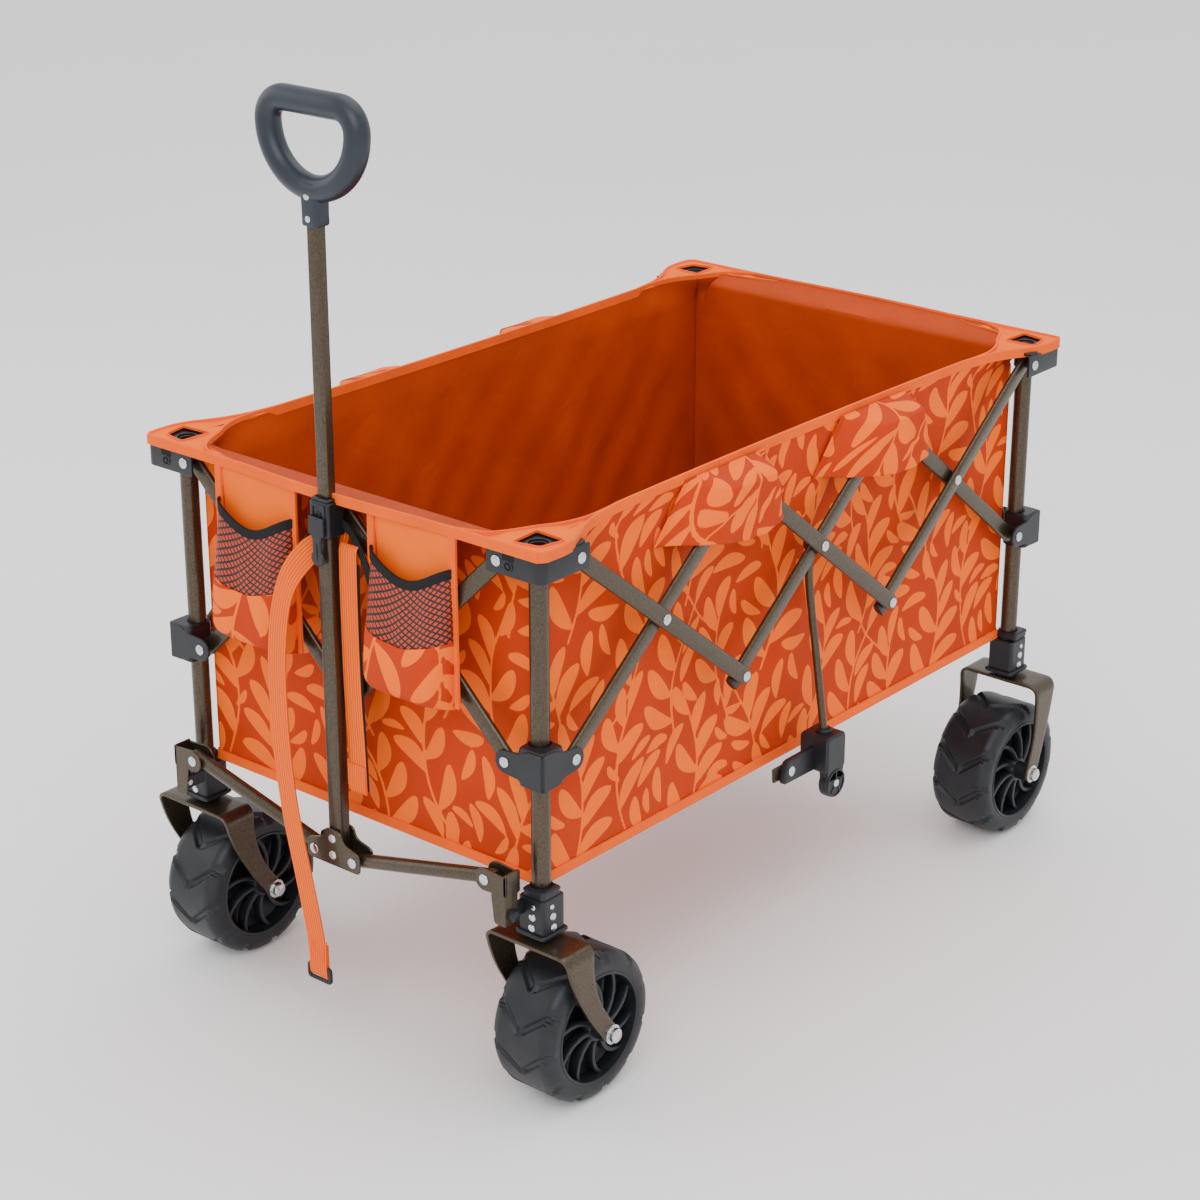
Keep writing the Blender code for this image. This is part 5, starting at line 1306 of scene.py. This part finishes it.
def sleeve_grid(side, middle, hand, rows=80, columns=161):
    """A flap sewn under the rim over a high rivet: it stands out to clear the bars, and hangs to a free lower edge.

    w = rim + (reach - rim) hump(x) ease(t): hump is 1 over the bars and falls by a squared cosine at the sides, ease
    is a quarter sine that ends early. Its width grows downwards, and it leans a little one way.
    """
    x = np.linspace(-1, 1, columns)[None]
    t = np.linspace(0, 1, rows)[:, None] ** 1.6
    s = middle + x * (0.062 + 0.044 * t) - 0.006 * t
    rim = rim_place(side, s / SIDES[side][3])
    hump = np.cos(np.clip((np.abs(x) - 0.42) / 0.58, 0, 1) * math.pi / 2) ** 2
    ease = np.sin(np.clip(t / 0.14, 0, 1) * math.pi / 2) ** 0.8
    crease = 0.0012 * np.sin(x * 11 + t * 5) * t + 0.0010 * np.sin(x * 23 - t * 9) * t
    reach = np.where(hand * x > 0, 0.0350, 0.0350 - 0.0060 * np.clip(np.abs(x) * 2, 0, 1) * t)
    w = rim + 0.0010 + (reach - rim) * hump * ease + (crease - 0.001 * t) * hump
    w = np.maximum(w, WALL_W + 0.0064)
    z = RIM_Z - 0.0045 - (0.060 + 0.006 * np.cos(x * 2.6)) * t - 0.0015 * np.sin(x * 6 + 1) * t
    return np.stack(np.broadcast_arrays(s, w, z), -1)


def make_sleeves():
    """Flaps over the high rivets of each side, which hang the tub on the scissor bars."""
    for side in ("right", "left"):
        count, half = SIDES[side][2], SIDES[side][3]
        unit_length = 2 * (half - INSET) / count
        for number in range(1, count):
            middle = INSET - half + number * unit_length
            grid = sleeve_grid(side, middle, 1)
            cloth = cloth_values(grid)
            depth = leaf_print(cloth[:, :2] + (5.07 + number * 0.11, 5.0))
            shape = moved(grid_shape(grid), lambda p, s=side: from_side(s, p))
            out = from_side(side, (0, 1, 0)) - from_side(side, (0, 0, 0))
            item = soft_piece(f"bar_sleeve_{side}_{number}", [(shape, "print", cloth)], SIDE_BODY[side][0], 0.0012, out, attributes={"print": ("FLOAT", depth)})
            crumple(item)


def pocket_shell(middle, first, last, rows, low_bulge, high_bulge, closing):
    """A pouch's front: w = back + depth(t) (1 - x^6)^0.6, z from the mouth's dip down to the foot.

    depth grows from high_bulge to low_bulge by a smooth step and, where closing, ends in a quarter circle.
    """
    x = np.linspace(-1, 1, 81)[None]
    t = np.linspace(first, last, rows)[:, None]
    mouth = 0.550 - 0.020 * np.cos(x * math.pi / 2) ** 1.3
    foot = 0.4115
    z = mouth + (foot - mouth) * t
    depth = high_bulge + (low_bulge - high_bulge) * np.sin(np.clip(t / 0.8, 0, 1) * math.pi / 2) ** 1.2
    if closing:
        past = np.clip((t - 0.84) / 0.16, 0, 1)
        depth = depth * np.sqrt(np.clip(1 - past**2, 0, 1))
    across = np.clip(1 - x**6, 0, 1) ** 0.6
    wrinkle = 0.0009 * np.sin(x * 9 + t * 7) * np.sin(math.pi * np.clip(t, 0, 1))
    w = 0.0292 + np.maximum(depth * across + wrinkle * across, 0)
    s = middle + x * (0.0515 + 0.0012 * np.sin(t * 3.1))
    return np.stack(np.broadcast_arrays(s, w, z), -1)


def make_pockets():
    """Two pouches hung from the front rim: a plain back, a printed cup, net above it and a dipping black hem."""
    out = from_side("front", (0, 1, 0)) - from_side("front", (0, 0, 0))
    for name, middle in (("right", -0.105), ("left", 0.105)):
        x, z = np.meshgrid(np.linspace(-1, 1, 21), np.linspace(0.5885, 0.4125, 24))
        back_w = 0.0285 + 0.0008 * np.sin(x * 4 + z * 60)
        back = np.stack([middle + x * 0.0515, back_w, z], -1)
        net = pocket_shell(middle, 0.0, 0.50, 30, 0.0315, 0.0125, False)
        cup = pocket_shell(middle, 0.49, 1.0, 70, 0.0325, 0.0125, True)
        cup[..., 1] += 0.0005
        grids = ((back, "plain"), (net, "net"), (cup, "print"))
        parts = [(moved(grid_shape(grid), lambda p: from_side("front", p)), key, cloth_values(grid)) for grid, key in grids]
        depth = np.concatenate([leaf_print(cloth[:, :2] + (5.03 + middle, 5.12)) for _, _, cloth in parts])
        item = soft_piece(f"front_pocket_{name}", parts[:1], "frame_front_right", 0.0010, out)
        crumple(item)
        count = len(parts[0][2])
        pouch = soft_piece(f"pocket_pouch_{name}", parts[1:], "frame_front_right", 0.0012, out, attributes={"print": ("FLOAT", depth[count:])})
        crumple(pouch)

        trims = []
        mouth = net[0] + (0, 0.0006, 0.0)
        hem = np.concatenate([[mouth[0] + (0, -0.004, 0.002)], mouth, [mouth[-1] + (0, -0.004, 0.002)]])
        tape, cloth = ribbon(from_side("front", hem), (0, 0, 1), 0.0046, 0.0026)
        trims.append((tape, "black_tape", cloth))
        for hand in (-1, 1):
            edge = np.array([(middle + hand * 0.0525, w, z) for w, z in ((0.0300, 0.590), (0.0305, 0.55), (0.0302, 0.50), (0.0300, 0.45), (0.0296, 0.414))])
            tape, cloth = ribbon(smooth_path(from_side("front", edge), 6), (1, 0, 0), 0.0042, 0.0030)
            trims.append((tape, "tape", cloth))
        trim = soft_piece(f"pocket_binding_{name}", trims, "frame_front_right")
        crumple(trim)


def box_seam(middle, out, z, half):
    """Stitches of a sewn end: short threads round a square and along its diagonals."""
    corners = np.array([(-1, -1), (1, -1), (1, 1), (-1, 1), (-1, -1), (1, 1)]) * half
    threads = []
    for first, last in zip(corners[:-1], corners[1:]):
        steps = max(3, int(np.linalg.norm(last - first) / 0.0042))
        for step in range(steps):
            a, b = (first + (last - first) * share / steps for share in (step + 0.15, step + 0.75))
            path = [(middle + a[0], out, z + a[1]), (middle + b[0], out, z + b[1])]
            threads.append((sweep(path, circle(0.00045, steps=6), up=(0, 1, 0)), "tape"))
    return threads


def make_straps():
    """Two webbing straps at the pole: the long one turns over as it leaves the rim and ends round a black ring."""
    drop = [(-0.004, 0.0255, -0.020), (0.000, 0.0262, -0.030), (0.012, 0.0300, -0.036), (0.0240, 0.0400, -0.046)]
    drop += [(0.0350, 0.0540, -0.068), (0.0410, 0.0630, -0.098), (0.0470, 0.0655, -0.150), (0.0480, 0.0655, -0.210)]
    drop += [(0.0445, 0.0655, -0.270), (0.0370, 0.0654, -0.325), (0.0230, 0.0652, -0.388), (0.0110, 0.0650, -0.445)]
    drop = np.array([*drop, (0.0065, 0.0650, -0.486)])
    route = smooth_path(drop + (0, 0, TOP_Z), 9)
    share = np.clip((TOP_Z - 0.026 - route[:, 2]) / 0.070, 0, 1)
    turn = math.radians(76) * (1 - share * share * (3 - 2 * share))
    across = np.column_stack([np.cos(turn), 0.15 * np.sin(turn), np.sin(turn)])
    path, way = from_side("front", route), from_side("front", across) - from_side("front", (0, 0, 0))
    strap, cloth = ribbon(path, way, 0.0124, 0.0017)
    parts = [(strap, "webbing", cloth)]
    ring_z = TOP_Z - 0.486
    fold = [(0.0070, 0.0650, ring_z + 0.034), (0.0066, 0.0663, ring_z + 0.012), (0.0064, 0.0664, ring_z - 0.002)]
    fold += [(0.0063, 0.0648, ring_z - 0.0075), (0.0064, 0.0632, ring_z - 0.002), (0.0066, 0.0634, ring_z + 0.030)]
    fold_path = smooth_path(from_side("front", fold), 6)
    tape, tape_cloth = ribbon(fold_path, (1, 0, -0.05), 0.0122, 0.0014)
    parts.append((tape, "webbing", tape_cloth))
    item = soft_piece("pull_strap", parts, "frame_front_right")
    crumple(item)

    threads = [(moved(shape, lambda p: from_side("front", p)), key) for shape, key in box_seam(0.0068, 0.0673, ring_z + 0.020, 0.009)]
    centre_z = ring_z - 0.004
    loop = round_rectangle(0.0300, 0.0150, 0.0030, 4, (0.0063, centre_z))
    ring_path = from_side("front", np.column_stack([loop[:, 0], np.full(len(loop), 0.0648), loop[:, 1]]))
    ring = sweep(ring_path, circle(0.0022, steps=12), up=(0, 1, 0), closed=True)
    ring_item = new_piece("strap_ring", [(ring, "nylon"), *threads], "frame_front_right")
    crumple(ring_item)

    top = [(-0.0240, 0.0300, 0.520), (-0.0260, 0.0305, 0.541), (-0.0265, 0.0330, 0.5475), (-0.0265, 0.0362, 0.5440)]
    fall = [(-0.0262, 0.0368, 0.532), (-0.0240, 0.0350, 0.480), (-0.0225, 0.0330, 0.400), (-0.0245, 0.0320, 0.330)]
    short = smooth_path([*top, *fall, (-0.0255, 0.0318, 0.288)], 8)
    orange, orange_cloth = ribbon(from_side("front", short), (1, 0, 0), 0.0116, 0.0012)
    behind = smooth_path([(-0.0265, 0.0340, 0.530), (-0.0243, 0.0330, 0.480), (-0.0230, 0.0312, 0.400), (-0.0255, 0.0302, 0.289)], 8)
    black, black_cloth = ribbon(from_side("front", behind), (1, 0, 0), 0.0130, 0.0011)
    end = smooth_path([(-0.0252, 0.0332, 0.316), (-0.0255, 0.0342, 0.300), (-0.0256, 0.0334, 0.2880), (-0.0256, 0.0312, 0.2865)], 6)
    folded, folded_cloth = ribbon(from_side("front", end), (1, 0, 0), 0.0118, 0.0014)
    tab = smooth_path([(-0.010, 0.0285, 0.566), (-0.022, 0.0300, 0.561), (-0.036, 0.0325, 0.549), (-0.047, 0.0330, 0.530), (-0.052, 0.0318, 0.512)], 6)
    tab_across = np.broadcast_to((0.35, 0.0, 0.94), (len(tab), 3))
    tab_shape, tab_cloth = ribbon(from_side("front", tab), tab_across, 0.0042, 0.0014)
    parts = [(orange, "webbing", orange_cloth), (black, "black_tape", black_cloth), (folded, "webbing", folded_cloth), (tab_shape, "black_tape", tab_cloth)]
    item = soft_piece("side_strap", parts, "frame_front_right")
    crumple(item)


# ---------------------------------------------------------------- stage
AZIMUTH, ELEVATION = 40.0, 21.9
EYE = (1.785, MID_Y - 2.174, 1.477)


def make_stage():
    """A pale floor, a white surround, three broad lights and the camera."""
    floor = bpy.data.meshes.new("studio_floor")
    floor.from_pydata([(-6, -6, -0.0005), (6, -6, -0.0005), (6, 6, -0.0005), (-6, 6, -0.0005)], [], [(0, 1, 2, 3)])
    floor.materials.append(finish("floor"))
    ground = bpy.data.objects.new("studio_floor", floor)
    bpy.context.scene.collection.objects.link(ground)
    world = bpy.data.worlds.new("studio_surround")
    world.use_nodes = True
    surround = world.node_tree.nodes["Background"]
    surround.inputs["Color"].default_value = (1, 1, 1, 1)
    surround.inputs["Strength"].default_value = 1.25
    bpy.context.scene.world = world
    lights = (
        ("key_light", (1.6, -2.6, 2.8), 55, 2.2),
        ("fill_light", (-2.8, -1.4, 1.8), 22, 2.4),
        ("top_light", (0.2, 0.6, 3.2), 40, 2.8),
    )
    for name, place, power, size in lights:
        lamp = bpy.data.lights.new(name, "AREA")
        lamp.energy, lamp.size = power, size
        item = bpy.data.objects.new(name, lamp)
        item.location = place
        toward = -Vector(place) + Vector((0, 0, 0.35))
        item.rotation_euler = toward.to_track_quat("-Z", "Y").to_euler()
        bpy.context.scene.collection.objects.link(item)
    view = bpy.data.cameras.new("camera")
    view.lens, view.sensor_width = 82.7, 36.0
    camera = bpy.data.objects.new("camera", view)
    turn, tilt = math.radians(AZIMUTH), math.radians(ELEVATION)
    look = Vector((-math.sin(turn) * math.cos(tilt), math.cos(turn) * math.cos(tilt), -math.sin(tilt)))
    camera.location = EYE
    camera.rotation_euler = look.to_track_quat("-Z", "Y").to_euler()
    bpy.context.scene.collection.objects.link(camera)
    bpy.context.scene.camera = camera

# ---------------------------------------------------------------- operators and panel
class WAGON_OT_posts(bpy.types.Operator):
    """Round steel corner posts, open at the top"""

    bl_idname = "wagon.posts"
    bl_label = "Corner posts"

    def execute(self, context):
        make_posts()
        return {"FINISHED"}


class WAGON_OT_brackets(bpy.types.Operator):
    """Moulded caps that hold the upper ends of the bars"""

    bl_idname = "wagon.brackets"
    bl_label = "Corner brackets"

    def execute(self, context):
        make_top_brackets()
        return {"FINISHED"}


class WAGON_OT_sliders(bpy.types.Operator):
    """Moulded sleeves that slide on the posts"""

    bl_idname = "wagon.sliders"
    bl_label = "Sliding sleeves"

    def execute(self, context):
        make_sliders()
        return {"FINISHED"}


class WAGON_OT_feet(bpy.types.Operator):
    """Moulded sockets under the posts"""

    bl_idname = "wagon.feet"
    bl_label = "Feet"

    def execute(self, context):
        make_feet()
        return {"FINISHED"}


class WAGON_OT_forks(bpy.types.Operator):
    """Bent flat forks, with an axle nut on each side"""

    bl_idname = "wagon.forks"
    bl_label = "Forks"

    def execute(self, context):
        make_forks()
        return {"FINISHED"}


class WAGON_OT_wheels(bpy.types.Operator):
    """Wide moulded wheels with a chevron tread"""

    bl_idname = "wagon.wheels"
    bl_label = "Wheels"

    def execute(self, context):
        make_wheels()
        return {"FINISHED"}


class WAGON_OT_bars(bpy.types.Operator):
    """Crossed flat bars on the four sides, with their rivets"""

    bl_idname = "wagon.bars"
    bl_label = "Scissor bars"

    def execute(self, context):
        make_bars()
        return {"FINISHED"}


class WAGON_OT_hangers(bpy.types.Operator):
    """Rods from the middle crossings, with a bracket and a roller"""

    bl_idname = "wagon.hangers"
    bl_label = "Hangers"

    def execute(self, context):
        make_hangers()
        return {"FINISHED"}


class WAGON_OT_grip(bpy.types.Operator):
    """The D-shaped pull grip"""

    bl_idname = "wagon.grip"
    bl_label = "Grip"

    def execute(self, context):
        make_grip()
        return {"FINISHED"}


class WAGON_OT_pole(bpy.types.Operator):
    """The telescoping tubes and their collar"""

    bl_idname = "wagon.pole"
    bl_label = "Pole"

    def execute(self, context):
        make_pole()
        return {"FINISHED"}


class WAGON_OT_lever(bpy.types.Operator):
    """The lever that frees the telescoping tubes"""

    bl_idname = "wagon.lever"
    bl_label = "Thumb lever"

    def execute(self, context):
        make_lever()
        return {"FINISHED"}


class WAGON_OT_handle_base(bpy.types.Operator):
    """Plates, arms and clevises at the foot of the pole"""

    bl_idname = "wagon.handle_base"
    bl_label = "Handle base"

    def execute(self, context):
        make_handle_base()
        return {"FINISHED"}


class WAGON_OT_walls(bpy.types.Operator):
    """Four printed walls with a plain lining"""

    bl_idname = "wagon.walls"
    bl_label = "Tub walls"

    def execute(self, context):
        make_walls()
        return {"FINISHED"}


class WAGON_OT_tub_floor(bpy.types.Operator):
    """The tub's floor in two lengths that slide over each other"""

    bl_idname = "wagon.tub_floor"
    bl_label = "Tub floor"

    def execute(self, context):
        make_floor_cloth()
        return {"FINISHED"}


class WAGON_OT_corner_tabs(bpy.types.Operator):
    """Reinforced cloth tabs over the brackets, with their binding"""

    bl_idname = "wagon.corner_tabs"
    bl_label = "Corner tabs"

    def execute(self, context):
        make_corner_tabs()
        return {"FINISHED"}


class WAGON_OT_rims(bpy.types.Operator):
    """Binding tape along the top edge of each side"""

    bl_idname = "wagon.rims"
    bl_label = "Rim tape"

    def execute(self, context):
        make_rims()
        return {"FINISHED"}


class WAGON_OT_bar_flaps(bpy.types.Operator):
    """Flaps that hang the tub on the high rivets of the bars"""

    bl_idname = "wagon.bar_flaps"
    bl_label = "Bar flaps"

    def execute(self, context):
        make_sleeves()
        return {"FINISHED"}


class WAGON_OT_pockets(bpy.types.Operator):
    """Two pouches with net on the front wall"""

    bl_idname = "wagon.pockets"
    bl_label = "Pockets"

    def execute(self, context):
        make_pockets()
        return {"FINISHED"}


class WAGON_OT_straps(bpy.types.Operator):
    """Two webbing straps and a ring at the pole"""

    bl_idname = "wagon.straps"
    bl_label = "Straps"

    def execute(self, context):
        make_straps()
        return {"FINISHED"}


class WAGON_OT_stage(bpy.types.Operator):
    """A pale floor, soft lights and the camera"""

    bl_idname = "wagon.stage"
    bl_label = "Stage"

    def execute(self, context):
        make_stage()
        return {"FINISHED"}


OPERATORS = (
    WAGON_OT_posts,
    WAGON_OT_brackets,
    WAGON_OT_sliders,
    WAGON_OT_feet,
    WAGON_OT_forks,
    WAGON_OT_wheels,
    WAGON_OT_bars,
    WAGON_OT_hangers,
    WAGON_OT_grip,
    WAGON_OT_pole,
    WAGON_OT_lever,
    WAGON_OT_handle_base,
    WAGON_OT_walls,
    WAGON_OT_tub_floor,
    WAGON_OT_corner_tabs,
    WAGON_OT_rims,
    WAGON_OT_bar_flaps,
    WAGON_OT_pockets,
    WAGON_OT_straps,
    WAGON_OT_stage,
)


class WAGON_PT_sidebar(bpy.types.Panel):
    """The wagon's colours, sizes and pieces"""

    bl_idname = "WAGON_PT_sidebar"
    bl_label = "Folding Wagon"
    bl_space_type = "VIEW_3D"
    bl_region_type = "UI"
    bl_category = "Wagon"

    def draw(self, context):
        for group in (context.scene.wagon_colours, context.scene.wagon_sizes):
            box = self.layout.box()
            for name in group.__annotations__:
                box.prop(group, name)
        column = self.layout.column(align=True)
        for operator in OPERATORS:
            column.operator(operator.bl_idname)


CLASSES = (WagonColours, WagonSizes, *OPERATORS, WAGON_PT_sidebar)


def register():
    for each in CLASSES:
        bpy.utils.register_class(each)
    bpy.types.Scene.wagon_colours = bpy.props.PointerProperty(type=WagonColours)
    bpy.types.Scene.wagon_sizes = bpy.props.PointerProperty(type=WagonSizes)


def unregister():
    del bpy.types.Scene.wagon_sizes
    del bpy.types.Scene.wagon_colours
    for each in reversed(CLASSES):
        bpy.utils.unregister_class(each)


def main():
    """Registers the classes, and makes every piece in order."""
    register()
    for operator in OPERATORS:
        getattr(bpy.ops.wagon, operator.bl_idname.partition(".")[2])()


if __name__ == "__main__":
    main()
